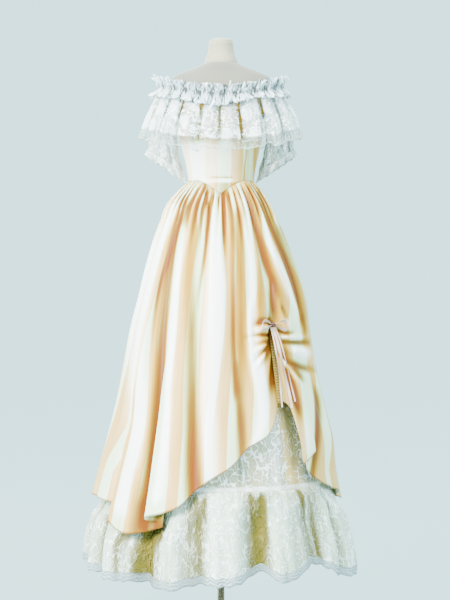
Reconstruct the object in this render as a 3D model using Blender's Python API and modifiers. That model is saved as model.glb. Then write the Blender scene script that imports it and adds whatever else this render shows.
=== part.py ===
"""Off-shoulder striped satin gown with lace flounces, on a limbless dress form with a pole stand."""

import math

import bmesh
import bpy
import numpy as np

# Cloth walls and the gaps between pieces
SATIN = 0.0012
BODICE_WALL = 0.0015
LACE = 0.0010
SEAM = 0.0006
LAYER = 0.0004
LINING_IN = 0.0014
FLOUNCE_LINING_IN = 0.0045

# Heights above the floor
WAIST = 1.300
BODICE_POINT = 0.040
POINT_HALF_ANGLE = 43.0
TIER_SEAM = 0.405
HEM = 0.150
LINING_HEM = 0.170

# The overskirt is drawn up at one place of its front
SIDE_SEAM = 92.0
FRONT_COLUMNS = 72
BACK_COLUMNS = 36
CASING_COLUMN = 49
CASING_ROW = 5
CASING_TOP = 0.42
RUCHE_ANGLE = 34.5
RUCHE_SPREAD = 26.0
RUCHE_SINK = 0.014
SWAG_DEPTH = 0.010
SWAG_PITCH = 0.16
SKIRT_ROWS = (0.0, 0.03, 0.10, 0.22, 0.34, 0.42, 0.50, 0.58, 0.66, 0.74, 0.86, 1.0)
TIER_ROWS = (0.0, 0.12, 0.5, 1.0)
FLOUNCE_ROWS = (TIER_SEAM - SEAM, 0.340, 0.250, HEM)
SIDE_GAP = 0.17

# Gathers and waves
WAIST_GATHER = 0.0026
TIER_WAVES = 12
TIER_WAVE = 0.004
BERTHA_WAVES = 20
BERTHA_WAVE = 0.011
BERTHA_DROP = 0.150
RUFFLE_WAVES = 27
RUFFLE_WAVE = 0.006
SLEEVE_WAVES = 8
SLEEVE_WAVE = 0.005
FRILL_WAVES = 10
FRILL_WAVE = 0.005
FRILL = 0.024

# Stand
BASE_RADIUS = 0.170
BASE_THICKNESS = 0.012
POLE_RADIUS = 0.0105
POLE_GAP = 0.0003
FORM_BOTTOM = 1.085

# Bodice: height, side, front, back
BODICE = (
    (1.240, 0.1010, 0.0860, 0.0800),
    (1.270, 0.0985, 0.0825, 0.0775),
    (1.300, 0.0978, 0.0785, 0.0760),
    (1.340, 0.1030, 0.0830, 0.0770),
    (1.380, 0.1120, 0.0930, 0.0820),
    (1.420, 0.1210, 0.1040, 0.0890),
    (1.460, 0.1270, 0.1110, 0.0950),
    (1.500, 0.1420, 0.1135, 0.1020),
    (1.550, 0.1832, 0.1150, 0.1092),
)

# Dress form: height, side, front, back
FORM = (
    (1.085, 0.1280, 0.1020, 0.1060),
    (1.130, 0.1330, 0.1060, 0.1100),
    (1.190, 0.1200, 0.0960, 0.0980),
    (1.250, 0.0980, 0.0790, 0.0770),
    (1.285, 0.0915, 0.0735, 0.0700),
    (1.300, 0.0934, 0.0741, 0.0716),
    (1.340, 0.1014, 0.0814, 0.0754),
    (1.380, 0.1103, 0.0913, 0.0803),
    (1.420, 0.1194, 0.1023, 0.0874),
    (1.460, 0.1230, 0.1060, 0.0920),
    (1.500, 0.1300, 0.1010, 0.0960),
    (1.540, 0.1480, 0.0940, 0.0960),
    (1.575, 0.1600, 0.0860, 0.0900),
    (1.600, 0.1560, 0.0740, 0.0780),
    (1.617, 0.1380, 0.0640, 0.0680),
    (1.630, 0.1080, 0.0580, 0.0620),
    (1.643, 0.0740, 0.0540, 0.0570),
    (1.6525, 0.0540, 0.0500, 0.0520),
)

# Neck block: height, radius
NECK = (
    (1.6530, 0.0495),
    (1.6620, 0.0480),
    (1.6800, 0.0415),
    (1.7000, 0.0375),
    (1.7180, 0.0350),
    (1.7250, 0.0310),
    (1.7280, 0.0230),
)

# Overskirt: drop below the waist seam, flare to the left, right, front and back,
# and how far the underskirt stays inside it
SKIRT = (
    (0.000, 0.000, 0.000, 0.000, 0.000, 0.0016),
    (0.030, 0.030, 0.024, 0.020, 0.028, 0.0075),
    (0.064, 0.060, 0.048, 0.040, 0.055, 0.0120),
    (0.120, 0.084, 0.076, 0.070, 0.085, 0.0180),
    (0.180, 0.106, 0.103, 0.098, 0.112, 0.0230),
    (0.260, 0.129, 0.135, 0.130, 0.142, 0.0290),
    (0.350, 0.151, 0.161, 0.160, 0.170, 0.0340),
    (0.420, 0.170, 0.169, 0.178, 0.188, 0.0380),
    (0.540, 0.194, 0.188, 0.207, 0.215, 0.0410),
    (0.670, 0.219, 0.218, 0.235, 0.242, 0.0430),
    (0.770, 0.245, 0.243, 0.258, 0.264, 0.0440),
    (0.860, 0.270, 0.252, 0.278, 0.284, 0.0450),
    (0.930, 0.289, 0.265, 0.295, 0.300, 0.0450),
    (1.020, 0.312, 0.285, 0.315, 0.320, 0.0450),
)

# Overskirt hem: angle from the front, height
SKIRT_HEM = (
    (-180, 0.345),
    (-140, 0.338),
    (-110, 0.350),
    (-90, 0.365),
    (-75, 0.362),
    (-62, 0.345),
    (-54, 0.315),
    (-44, 0.288),
    (-34, 0.292),
    (-26, 0.318),
    (-17, 0.370),
    (-7, 0.430),
    (2, 0.463),
    (11, 0.500),
    (20, 0.540),
    (27, 0.575),
    (31, 0.615),
    (34.5, 0.648),
    (40, 0.635),
    (44, 0.560),
    (48, 0.490),
    (56, 0.440),
    (63, 0.410),
    (74, 0.385),
    (90, 0.350),
    (115, 0.345),
    (145, 0.338),
    (180, 0.345),
)

# Overskirt folds: angle at the waist, halfway and at the hem, the depth at each, half-width
SKIRT_FOLDS = (
    (-57, -52, -55, 0.004, 0.010, 0.018, 4.5),
    (-49, -38, -31, 0.010, 0.018, 0.024, 4.5),
    (-22, -25, -22, 0.006, 0.004, 0.001, 5.0),
    (-13, -14, -12, 0.008, 0.010, 0.016, 5.0),
    (4, 8, 6, 0.009, 0.011, 0.002, 4.5),
    (22, 17, 14, 0.003, 0.004, 0.012, 5.5),
    (34, 37, 46, 0.011, 0.012, 0.004, 4.5),
    (57, 68, 70, 0.010, 0.014, 0.014, 4.5),
    (84, 86, 86, 0.006, 0.012, 0.020, 6.0),
    (108, 107, 106, 0.008, 0.014, 0.022, 6.0),
    (129, 128, 127, 0.006, 0.012, 0.020, 7.0),
    (150, 149, 148, 0.008, 0.014, 0.022, 7.0),
    (173, 172, 172, 0.006, 0.012, 0.018, 7.0),
    (-163, -162, -161, 0.008, 0.014, 0.022, 7.0),
    (-141, -140, -139, 0.006, 0.012, 0.020, 7.0),
    (-119, -118, -117, 0.008, 0.014, 0.022, 7.0),
    (-99, -98, -97, 0.006, 0.012, 0.020, 6.0),
    (-78, -75, -76, 0.006, 0.008, 0.010, 5.0),
)

# Lower flounce: drop below its seam, puff to the left, right, front and back
FLOUNCE = (
    (0.000, 0.000, 0.000, 0.000, 0.000),
    (0.015, 0.012, 0.014, 0.012, 0.012),
    (0.035, 0.021, 0.026, 0.022, 0.022),
    (0.065, 0.032, 0.038, 0.034, 0.032),
    (0.105, 0.045, 0.053, 0.048, 0.044),
    (0.155, 0.056, 0.067, 0.062, 0.057),
    (0.205, 0.062, 0.078, 0.070, 0.067),
    (0.255, 0.064, 0.084, 0.074, 0.074),
)
FREE_PUFF = 0.016

# Lower flounce folds: angle, depth, half-width
FLOUNCE_FOLDS = (
    (-78, 0.018, 3.5),
    (-62, 0.026, 3.5),
    (-47, 0.012, 3.0),
    (-31, 0.040, 4.2),
    (-9.5, 0.030, 3.6),
    (9.5, 0.034, 3.0),
    (18, 0.030, 3.0),
    (41, 0.030, 3.8),
    (63, 0.030, 4.0),
    (82, 0.024, 4.0),
)
REAR_FOLDS = 12
REAR_FOLD_DEPTH = 0.028
REAR_FOLD_WIDTH = 4.4

# Neckline ring, and its height at the front, side and back
RING_SIDE = 0.186
RING_FRONT = 0.118
RING_BACK = 0.112
RING_HEIGHTS = (1.549, 1.584, 1.560)

# Bodice panels: name, the angles they lie between, columns
BODICE_PANELS = (
    ("bodice_front", -43.0, 43.0, 18),
    ("bodice_side_front_left", -90.0, -43.0, 8),
    ("bodice_side_front_right", 43.0, 90.0, 8),
    ("bodice_back_left", -180.0, -90.0, 12),
    ("bodice_back_right", 90.0, 180.0, 12),
)
BODICE_TRIM = 0.16
BODICE_DROP = 0.006
BODICE_IN = 0.0031
CHEST = 1.470
ARMHOLE = 1.466

# Bertha flounce: share of its drop, flare to the side, front and back
BERTHA = (
    (0.0, 0.000, 0.000, 0.000),
    (0.2, 0.008, 0.005, 0.005),
    (0.6, 0.036, 0.019, 0.020),
    (1.0, 0.056, 0.034, 0.034),
)

# Neck ruffle: height above its elastic, flare, share of the wave
RUFFLE = (
    (0.028, 0.010, 1.0),
    (0.010, 0.004, 0.4),
    (0.000, 0.000, 0.0),
    (-0.028, 0.020, 1.0),
)

# Sleeve loops: centre x, y, z, half-length across x and z, half-length along y
SLEEVE = (
    (0.1586, 0.004, 1.526, 0.0246, 0.0540, 0.046),
    (0.168, 0.010, 1.466, 0.0310, 0.0330, 0.047),
    (0.168, 0.024, 1.410, 0.0380, 0.0330, 0.046),
    (0.168, 0.048, 1.366, 0.0500, 0.0330, 0.052),
)


# Drawstring at the ruche: name, width, then its path as angle, height and distance from the skirt
KNOT_DEGREES = 34.5
KNOT_OUT = -0.0053
KNOT_SIZES = (0.007, 0.012, 0.007)
LOOP_LENGTH = 0.030
LOOP_RISE = 0.009
LOOP_WIDTH = 0.008
LOOP_SWELL = 0.0128
WIDE_TAIL = (
    (34.9, 0.8664, -0.0055),
    (35.4, 0.820, 0.006),
    (36.6, 0.760, 0.012),
    (38.2, 0.690, 0.013),
    (39.4, 0.636, 0.012),
)
LEFT_TAIL = (
    (33.3, 0.8664, -0.0055),
    (33.2, 0.820, 0.006),
    (33.3, 0.760, 0.012),
    (32.9, 0.690, 0.013),
    (32.6, 0.640, 0.012),
)
RIGHT_TAIL = (
    (36.5, 0.8664, -0.0055),
    (37.4, 0.820, 0.009),
    (38.8, 0.760, 0.014),
    (40.6, 0.690, 0.016),
    (41.8, 0.655, 0.016),
)
TAILS = (
    ("drawstring_tail_wide", 0.009, WIDE_TAIL),
    ("drawstring_tail_left", 0.005, LEFT_TAIL),
    ("drawstring_tail_right", 0.005, RIGHT_TAIL),
)

# Lace ties on the underskirt: name, width, then angle, height and distance from its lace
LEFT_TIE = (
    (11.5, 0.535, -0.0003),
    (11.2, 0.500, 0.005),
    (11.9, 0.460, 0.008),
    (11.5, 0.426, 0.010),
)
RIGHT_TIE = (
    (50.0, 0.500, -0.0025),
    (52.0, 0.470, 0.006),
    (54.5, 0.432, 0.012),
)
TIES = (
    ("lace_tie_left", 0.008, LEFT_TIE),
    ("lace_tie_right", 0.009, RIGHT_TIE),
)

# Back placket: half its width as an angle, its rows among the bodice's seven
PLACKET_HALF = 2.6
BODICE_ROWS = 7


def smooth(xs, ys, x):
    """A smooth curve through a table's points."""
    xs, ys = np.asarray(xs, float), np.asarray(ys, float)
    slope = np.gradient(ys, xs)
    i = np.clip(np.searchsorted(xs, x) - 1, 0, len(xs) - 2)
    step = xs[i + 1] - xs[i]
    t = np.clip((x - xs[i]) / step, 0.0, 1.0)
    rise = t * t * (3 - 2 * t)
    bend = t * (1 - t) * step * ((1 - t) * slope[i] - t * slope[i + 1])
    return ys[i] + (ys[i + 1] - ys[i]) * rise + bend


def column(rows, k):
    return [row[k] for row in rows]


def read(rows, x):
    """Every column of a table after the first, at x."""
    keys = column(rows, 0)
    return [smooth(keys, column(rows, k), x) for k in range(1, len(rows[0]))]


def step(x):
    x = np.clip(x, 0.0, 1.0)
    return x * x * (3 - 2 * x)


def between(a, b, t):
    return a + (b - a) * t


def oval(angle, left, right, front, back):
    """The half-sizes across and along at an angle from the front, towards the right."""
    side = between(left, right, 0.5 + 0.5 * np.sin(angle))
    depth = between(back, front, 0.5 + 0.5 * np.cos(angle))
    return side, depth


def points(angle, side, depth, height):
    return np.stack([side * np.sin(angle), -depth * np.cos(angle), height], axis=1)


def wrapped(degrees):
    return (degrees + 180.0) % 360.0 - 180.0


def waist_seam(angle):
    """The seam's height: level, with a point at the centre front."""
    away = np.abs(np.degrees(angle)) / POINT_HALF_ANGLE
    return WAIST - BODICE_POINT * np.clip(1 - away, 0.0, 1.0) ** 1.3


def bodice_sizes(angle, height, out=0.0):
    side, front, back = read(BODICE, height)
    side, depth = oval(angle, side, side, front, back)
    return side + out, depth + out


def fold_depth(degrees, v):
    """How deep the overskirt's folds are at a place of the cloth."""
    depth = np.zeros_like(v)
    for waist, middle, hem, *depths, half in SKIRT_FOLDS:
        track = smooth((0.0, 0.5, 1.0), (waist, middle, hem), v)
        deep = smooth((0.0, 0.12, 0.5, 1.0), (0.0, *depths), v)
        away = wrapped(degrees - track) / half
        depth += deep * np.exp(-away * away)
    return depth


def overskirt_height(degrees, top, v):
    """The height of the cloth: below the ruche's top its rows close up towards the casing."""
    hem = smooth(column(SKIRT_HEM, 0), column(SKIRT_HEM, 1), degrees)
    tie = WAIST - CASING_TOP
    upper = between(top, tie, v / CASING_TOP)
    lower = between(tie, hem, (v - CASING_TOP) / (1 - CASING_TOP))
    return np.where(v < CASING_TOP, upper, lower)


def ruche(degrees, v):
    """The drawn-up cloth sinks at the casing and swells in swags beside it."""
    away = np.abs(degrees - RUCHE_ANGLE)
    low = step((v - CASING_TOP + 0.06) / 0.10)
    sink = RUCHE_SINK * np.exp(-((away / 5.0) ** 2))
    swag = np.cos(2 * math.pi * (v - CASING_TOP) / SWAG_PITCH)
    near = step((away - 1.5) / 5.0) * step(1 - away / RUCHE_SPREAD)
    return low * (SWAG_DEPTH * near * swag - sink)


def skirt_point(angle, height, clear, out):
    """A point of a skirt: the waist seam's oval with the flare of the drop below it."""
    top = waist_seam(angle)
    left, right, front, back, inside = read(SKIRT, top - height)
    side, depth = bodice_sizes(angle, top)
    flare_side, flare_depth = oval(angle, left, right, front, back)
    out = out - clear * inside
    return points(angle, side + flare_side + out, depth + flare_depth + out, height)


def overskirt(first, last):
    """The overskirt between two angles."""
    gathers = 2 * math.pi / (3 * 2 * SIDE_SEAM / FRONT_COLUMNS)

    def surface(u, v):
        degrees = wrapped(between(first, last, u))
        angle = np.radians(degrees)
        height = overskirt_height(degrees, waist_seam(angle) - SEAM, v)
        gather = WAIST_GATHER * np.cos(gathers * between(first, last, u))
        gather *= step(v / 0.03) * step(1 - v / 0.4)
        out = gather + ruche(degrees, v) - fold_depth(degrees, v)
        return skirt_point(angle, height, 0.0, out)

    return surface


def tier(layer):
    """The underskirt's upper tier, hanging from just below the waist to the flounce."""

    def surface(u, v):
        angle = math.pi * (2 * u - 1)
        top = waist_seam(angle) - 0.004
        height = between(top, TIER_SEAM + SEAM, v)
        wave = TIER_WAVE * np.cos(TIER_WAVES * angle) * step(v)
        return skirt_point(angle, height, 1.0, wave - layer * (1.0 + 1.5 * step(v * 8)))

    return surface


def flounce_fold(degrees):
    depth = np.zeros_like(degrees)
    for at, deep, half in FLOUNCE_FOLDS:
        depth += deep * np.exp(-((wrapped(degrees - at) / half) ** 2))
    for k in range(REAR_FOLDS):
        at = 98 + 14.9 * k
        deep = REAR_FOLD_DEPTH * (0.85 + 0.3 * (k % 2))
        depth += deep * np.exp(-((wrapped(degrees - at) / REAR_FOLD_WIDTH) ** 2))
    return depth


def flounce(layer, hem):
    """The gathered lower flounce, which swells where the overskirt doesn't cover it."""

    def surface(u, v):
        angle = math.pi * (2 * u - 1)
        degrees = np.degrees(angle)
        height = np.maximum(v, hem)
        seam = skirt_point(angle, np.full_like(angle, TIER_SEAM), 1.0, -layer)
        left, right, front, back = read(FLOUNCE, TIER_SEAM - height)
        side, depth = oval(angle, left, right, front, back)
        cover = smooth(column(SKIRT_HEM, 0), column(SKIRT_HEM, 1), degrees)
        free = FREE_PUFF * step((cover - 0.015 - height) / 0.045)
        fold = flounce_fold(degrees) * step((TIER_SEAM - height) / 0.12)
        out = free - fold
        place = points(angle, side + out, depth + out, np.zeros_like(angle)) + seam
        place[:, 2] = height + 0.4 * fold * step((0.30 - height) / 0.12)
        return place

    return surface


def ring_height(angle):
    front, side, back = RING_HEIGHTS
    across = np.sin(angle) ** 2
    return between(np.where(np.cos(angle) > 0, front, back), side, across)


def ring_sizes(angle, out):
    side, depth = oval(angle, RING_SIDE, RING_SIDE, RING_FRONT, RING_BACK)
    return side + out, depth + out


def bertha(u, v):
    """The lace flounce that falls from the neckline ring all round."""
    angle = math.pi * (2 * u - 1)
    side, front, back = read(BERTHA, v)
    side, depth = oval(angle, side, side, front, back)
    wave = BERTHA_WAVE * np.cos(BERTHA_WAVES * angle) * v
    ring_side, ring_depth = ring_sizes(angle, -LACE - LAYER + wave)
    return points(angle, ring_side + side, ring_depth + depth, ring_height(angle) - 0.002 - BERTHA_DROP * v)


def neck_ruffle(u, v):
    """The ruffle gathered on the neckline's elastic, standing up and falling down from it."""
    angle = math.pi * (2 * u - 1)
    row = np.rint(v * (len(RUFFLE) - 1)).astype(int)
    up, flare, share = (np.array(column(RUFFLE, k))[row] for k in range(3))
    out = flare + RUFFLE_WAVE * share * np.cos(RUFFLE_WAVES * angle)
    side, depth = ring_sizes(angle, out)
    return points(angle, side, depth, ring_height(angle) + up)


def bodice_top(degrees):
    """The bodice's upper edge, with a dip for each armhole."""
    side = step((np.abs(degrees) - 44) / 20) * step((142 - np.abs(degrees)) / 20)
    ring = ring_height(np.radians(degrees)) - BODICE_DROP
    return between(ring, ARMHOLE, side)


def bodice(first, last, out=0.0):
    """A bodice panel between two angles."""

    def surface(u, v):
        degrees = between(first, last, u)
        angle = np.radians(degrees)
        top = bodice_top(180 - np.abs(180 - np.abs(degrees)))
        height = between(top, waist_seam(angle), v)
        side, depth = bodice_sizes(angle, height, out)
        ring_side, ring_depth = ring_sizes(angle, out - BODICE_IN)
        meet = step((height - CHEST) / (ring_height(angle) - BODICE_DROP - CHEST))
        return points(angle, between(side, ring_side, meet), between(depth, ring_depth, meet), height)

    return surface


def sleeve_place(turn, v, mirror, out=0.0):
    """A place on a sleeve's tube: turn goes round it, v down it."""
    rows = [(k / (len(SLEEVE) - 1), *row) for k, row in enumerate(SLEEVE)]
    x, y, z, half_x, half_z, half_y = read(rows, v)
    wave = 1 + (SLEEVE_WAVE * v * np.cos(SLEEVE_WAVES * turn) + out) / half_y
    place = np.stack(
        [
            mirror * (x + half_x * wave * np.cos(turn)),
            y - half_y * wave * np.sin(turn) * mirror,
            z + half_z * wave * np.cos(turn),
        ],
        axis=1,
    )
    return place


def sleeve(mirror):
    def surface(u, v):
        return sleeve_place(2 * math.pi * u, v, mirror)

    return surface


def sleeve_frill(mirror):
    """The frill at a sleeve's lower edge."""

    def surface(u, v):
        turn = 2 * math.pi * u
        wave = FRILL_WAVE * v * np.cos(FRILL_WAVES * turn)
        place = sleeve_place(turn, np.ones_like(v), mirror, wave + 0.004 * v)
        place[:, 2] -= SEAM + 0.0006 + FRILL * v
        return place

    return surface


def casing(u, v):
    """The drawstring's casing: one column of the overskirt's own grid, moved out."""
    pitch = 2 * (SIDE_SEAM - SIDE_GAP) / FRONT_COLUMNS
    first = CASING_COLUMN * pitch - SIDE_SEAM + SIDE_GAP
    place = overskirt(first, first + pitch)(u, v)
    angle = math.radians(first + pitch / 2)
    return place + (SATIN + LAYER) * np.array([math.sin(angle), -math.cos(angle), 0.25])


def strip(path, width, clear):
    """A narrow ribbon down a path that is given by angle, height and distance from a skirt."""

    def surface(u, v):
        rows = [(k / (len(path) - 1), *row) for k, row in enumerate(path)]
        degrees, height, out = read(rows, v)
        angle = np.radians(degrees)
        middle = skirt_point(angle, height, clear, out)
        along = np.stack([np.cos(angle), np.sin(angle), np.zeros_like(angle)], axis=1)
        return middle + along * (width * (u - 0.5))[:, None]

    return surface


def knot_place():
    """The knot's centre, and the directions across and out of the skirt there."""
    angle = math.radians(KNOT_DEGREES)
    height = WAIST - CASING_TOP - 0.006
    middle = skirt_point(np.array([angle]), np.array([height]), 0.0, KNOT_OUT)[0]
    across = np.array([math.cos(angle), math.sin(angle), 0.0])
    away = np.array([math.sin(angle), -math.cos(angle), 0.0])
    return middle, across, away


def bow_loop(mirror):
    """One loop of the drawstring's bow."""

    def surface(u, v):
        middle, across, away = knot_place()
        start = KNOT_SIZES[0] + 0.0003
        reach = mirror * (start + LOOP_LENGTH * np.sin(math.pi * v))
        rise = LOOP_RISE * np.sin(2 * math.pi * v) + 0.0016 * np.cos(math.pi * v)
        out = 0.003 + LOOP_SWELL * np.sin(math.pi * v) + LOOP_WIDTH * (u - 0.5)
        place = middle + reach[:, None] * across + out[:, None] * away
        place[:, 2] += rise
        return place

    return surface


def clear_scene():
    for item in list(bpy.data.objects):
        bpy.data.objects.remove(item, do_unlink=True)


def material(name, colour, roughness, metallic=0.0):
    made = bpy.data.materials.new(name)
    made.use_nodes = True
    shader = made.node_tree.nodes["Principled BSDF"]
    shader.inputs["Base Color"].default_value = (*colour, 1.0)
    shader.inputs["Roughness"].default_value = roughness
    shader.inputs["Metallic"].default_value = metallic
    return made


def add_object(name, mesh, colour, roughness, metallic=0.0):
    made = bpy.data.objects.new(name, mesh)
    made.data.materials.append(material(name, colour, roughness, metallic))
    bpy.data.collections["Gown"].objects.link(made)
    made.data.shade_smooth()
    return made


def sheet(surface, columns, rows, closed):
    """A grid of cloth mapped onto a surface, welded into a tube where it is closed."""
    grid = bmesh.new()
    heights = rows if hasattr(rows, "__len__") else [k / rows for k in range(rows + 1)]
    bmesh.ops.create_grid(grid, x_segments=columns, y_segments=len(heights) - 1, size=0.5)
    flat = np.array([v.co[:2] for v in grid.verts]) + 0.5
    row = np.rint((1 - flat[:, 1]) * (len(heights) - 1)).astype(int)
    placed = surface(flat[:, 0], np.array(heights)[row])
    for vert, place in zip(grid.verts, placed):
        vert.co = place
    if closed:
        bmesh.ops.remove_doubles(grid, verts=grid.verts, dist=1e-6)
    return grid


def cloth(name, surface, columns, rows, wall, colour, closed=True, roughness=0.5):
    """A cloth piece: an open surface with a wall."""
    grid = sheet(surface, columns, rows, closed)
    mesh = bpy.data.meshes.new(name)
    grid.to_mesh(mesh)
    grid.free()
    made = add_object(name, mesh, colour, roughness)
    solid = made.modifiers.new("wall", "SOLIDIFY")
    solid.thickness = wall
    solid.offset = 0.0
    return made


PEACH = (0.86, 0.62, 0.46)
IVORY = (0.86, 0.85, 0.78)
WHITE_LACE = (0.84, 0.85, 0.86)
RIBBON = (0.84, 0.52, 0.40)
CREAM = (0.80, 0.81, 0.64)
FORM_CLOTH = (0.72, 0.70, 0.62)
STEEL = (0.60, 0.60, 0.60)


def build_form():
    def surface(u, v):
        angle = math.pi * (2 * u - 1)
        height = between(FORM[-1][0], FORM[0][0], v)
        side, front, back = read(FORM, height)
        side, depth = oval(angle, side, side, front, back)
        return points(angle, side, depth, height)

    heights = [(FORM[-1][0] - row[0]) / (FORM[-1][0] - FORM[0][0]) for row in reversed(FORM)]
    grid = sheet(surface, 32, heights, True)
    bmesh.ops.holes_fill(grid, edges=grid.edges)
    mesh = bpy.data.meshes.new("form_torso")
    grid.to_mesh(mesh)
    grid.free()
    add_object("form_torso", mesh, FORM_CLOTH, 0.8)


def build_neck():
    profile = bmesh.new()
    turned = [(radius, height) for height, radius in reversed(NECK)]
    corners = [(0.0, NECK[-1][0]), *turned, (0.0, NECK[0][0])]
    verts = [profile.verts.new((radius, 0.0, height)) for radius, height in corners]
    for a, b in zip(verts, verts[1:]):
        profile.edges.new((a, b))
    mesh = bpy.data.meshes.new("form_neck")
    profile.to_mesh(mesh)
    profile.free()
    made = add_object("form_neck", mesh, FORM_CLOTH, 0.8)
    screw = made.modifiers.new("turned", "SCREW")
    screw.steps = screw.render_steps = 20
    screw.use_merge_vertices = True
    screw.merge_threshold = 0.00001


def disc(name, radius, low, high, bevel):
    """A steel cylinder between two heights."""
    solid = bmesh.new()
    size = {"radius1": radius, "radius2": radius, "depth": high - low}
    bmesh.ops.create_cone(solid, cap_ends=True, segments=28, **size)
    bmesh.ops.translate(solid, verts=solid.verts, vec=(0, 0, (low + high) / 2))
    mesh = bpy.data.meshes.new(name)
    solid.to_mesh(mesh)
    solid.free()
    made = add_object(name, mesh, STEEL, 0.3, 1.0)
    if bevel:
        edge = made.modifiers.new("edge", "BEVEL")
        edge.width = bevel
        edge.segments = 2
        edge.angle_limit = math.radians(60)


def build_stand():
    disc("stand_base", BASE_RADIUS, 0.0, BASE_THICKNESS, 0.003)
    disc("stand_pole", POLE_RADIUS, BASE_THICKNESS + POLE_GAP, FORM_BOTTOM - POLE_GAP, 0.0)


def build_bodice():
    for k, (name, first, last, columns) in enumerate(BODICE_PANELS):
        panel = bodice(first + BODICE_TRIM, last - BODICE_TRIM)
        cloth(name, panel, columns, BODICE_ROWS, BODICE_WALL, (PEACH, IVORY)[k % 2], False)
    out = (BODICE_WALL + LACE) / 2 + LAYER
    rows = [k / BODICE_ROWS for k in range(1, BODICE_ROWS + 1)]
    placket = bodice(180 - PLACKET_HALF, 180 + PLACKET_HALF, out)
    cloth("back_placket", placket, 2, rows, LACE, IVORY, False)


def build_skirts():
    front = SIDE_SEAM - SIDE_GAP
    back = SIDE_SEAM + SIDE_GAP
    front_cloth = overskirt(-front, front)
    back_cloth = overskirt(back, 360 - back)
    cloth("overskirt_front", front_cloth, FRONT_COLUMNS, SKIRT_ROWS, SATIN, PEACH, False)
    cloth("overskirt_back", back_cloth, BACK_COLUMNS, SKIRT_ROWS, SATIN, IVORY, False)
    cloth("underskirt_lace", tier(0.0), 36, TIER_ROWS, LACE, WHITE_LACE)
    cloth("underskirt_lining", tier(LINING_IN), 36, TIER_ROWS, LACE, CREAM)
    cloth("flounce_lace", flounce(0.0, HEM), 96, FLOUNCE_ROWS, LACE, WHITE_LACE)
    lining = flounce(FLOUNCE_LINING_IN, LINING_HEM)
    cloth("flounce_lining", lining, 96, FLOUNCE_ROWS, LACE, CREAM)


def build_drawstring():
    """The ruche's casing, the knot and loops of its bow, and the tails."""
    casing_rows = SKIRT_ROWS[CASING_ROW:]
    cloth("drawstring_casing", casing, 1, casing_rows, SATIN, RIBBON, False)
    middle, across, away = knot_place()
    knot = bmesh.new()
    bmesh.ops.create_icosphere(knot, subdivisions=2, radius=1.0)
    for vert in knot.verts:
        x, y, z = (size * value for size, value in zip(KNOT_SIZES, vert.co))
        vert.co = middle + x * across - y * away + z * np.array([0.0, 0.0, 1.0])
    mesh = bpy.data.meshes.new("drawstring_knot")
    knot.to_mesh(mesh)
    knot.free()
    add_object("drawstring_knot", mesh, RIBBON, 0.4)
    for side, mirror in (("left", -1), ("right", 1)):
        cloth("drawstring_loop_" + side, bow_loop(mirror), 1, 10, SATIN, RIBBON, False)
    for name, width, path in TAILS:
        cloth(name, strip(path, width, 0.0), 1, 6, SATIN, RIBBON, False)


def build_ties():
    for name, width, path in TIES:
        cloth(name, strip(path, width, 1.0), 1, 5, LACE, WHITE_LACE, False)


def build_neckline():
    cloth("bertha_flounce", bertha, 80, 3, LACE, WHITE_LACE)
    cloth("neck_ruffle", neck_ruffle, 81, 3, LACE, WHITE_LACE)
    for side, mirror in (("left", -1), ("right", 1)):
        cloth("sleeve_" + side, sleeve(mirror), 24, 3, LACE, WHITE_LACE)
        cloth("sleeve_frill_" + side, sleeve_frill(mirror), 30, 1, LACE, WHITE_LACE)


def main():
    clear_scene()
    collection = bpy.data.collections.new("Gown")
    bpy.context.scene.collection.children.link(collection)
    build_form()
    build_neck()
    build_stand()
    build_bodice()
    build_skirts()
    build_drawstring()
    build_ties()
    build_neckline()


main()
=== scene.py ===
"""Off-shoulder striped satin gown with lace flounces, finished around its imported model."""

import math

import bmesh
import bpy
import numpy as np
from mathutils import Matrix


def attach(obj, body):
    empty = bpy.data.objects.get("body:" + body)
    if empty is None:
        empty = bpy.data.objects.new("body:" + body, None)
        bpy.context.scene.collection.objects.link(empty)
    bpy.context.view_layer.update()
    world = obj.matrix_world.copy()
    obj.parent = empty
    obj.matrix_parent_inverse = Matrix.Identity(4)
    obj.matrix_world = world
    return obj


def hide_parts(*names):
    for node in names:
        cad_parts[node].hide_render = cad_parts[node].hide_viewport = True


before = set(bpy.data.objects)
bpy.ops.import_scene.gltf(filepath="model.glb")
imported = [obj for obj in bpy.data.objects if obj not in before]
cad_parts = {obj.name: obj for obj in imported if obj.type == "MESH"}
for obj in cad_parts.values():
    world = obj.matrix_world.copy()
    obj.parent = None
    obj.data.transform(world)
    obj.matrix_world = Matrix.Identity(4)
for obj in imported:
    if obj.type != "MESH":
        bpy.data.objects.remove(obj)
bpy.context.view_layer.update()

# Cloth walls and the gaps between pieces, all sizes in metres
SATIN = 0.0010
BODICE_WALL = 0.0012
STRIP_WALL = 0.0008
LACE = 0.0006
RIBBON = 0.0006
SEAM = 0.0006
LAYER = 0.0004
LINING_IN = 0.0014
FLOUNCE_LINING_IN = 0.0045

# Heights of the waist's and the tier's seams above the floor, and the point at the front's waist
WAIST = 1.300
TIER_SEAM = 0.405
BODICE_POINT = 0.040
POINT_HALF_ANGLE = 43.0

# Overskirt: angles in degrees from the front, and shares of its drop
SIDE_SEAM = 92.0
SIDE_GAP = 0.17
FINE_FROM = 0.26
FOLD_REACH = 0.45
WAIST_GATHER = 0.0030
GATHER_PITCH = 7.65
MARK_FADE = 0.05
HEM_DROP = 0.95

# Drawstring's casing on the overskirt, and how far the cloth sinks beside it
CASING_TOP = 0.42
CASING_BOTTOM = 0.652
CASING_ANGLE = 34.5
CASING_HALF = 1.27
CASING_CUT = (0.026, 0.26)
CASING_GATHERS = 30
RUCHE_SINK = 0.014
RUCHE_HALF = 5.0

# Stripes: width on the cloth, width in degrees past the front's last edge, the narrowest,
# and how far the first edge lies from the bodice's middle
STRIPE = 0.038
SIDE_STRIPE = 7.0
LEAST_STRIPE = 0.2
BODICE_STRIPE_EDGE = 0.0044

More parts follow.
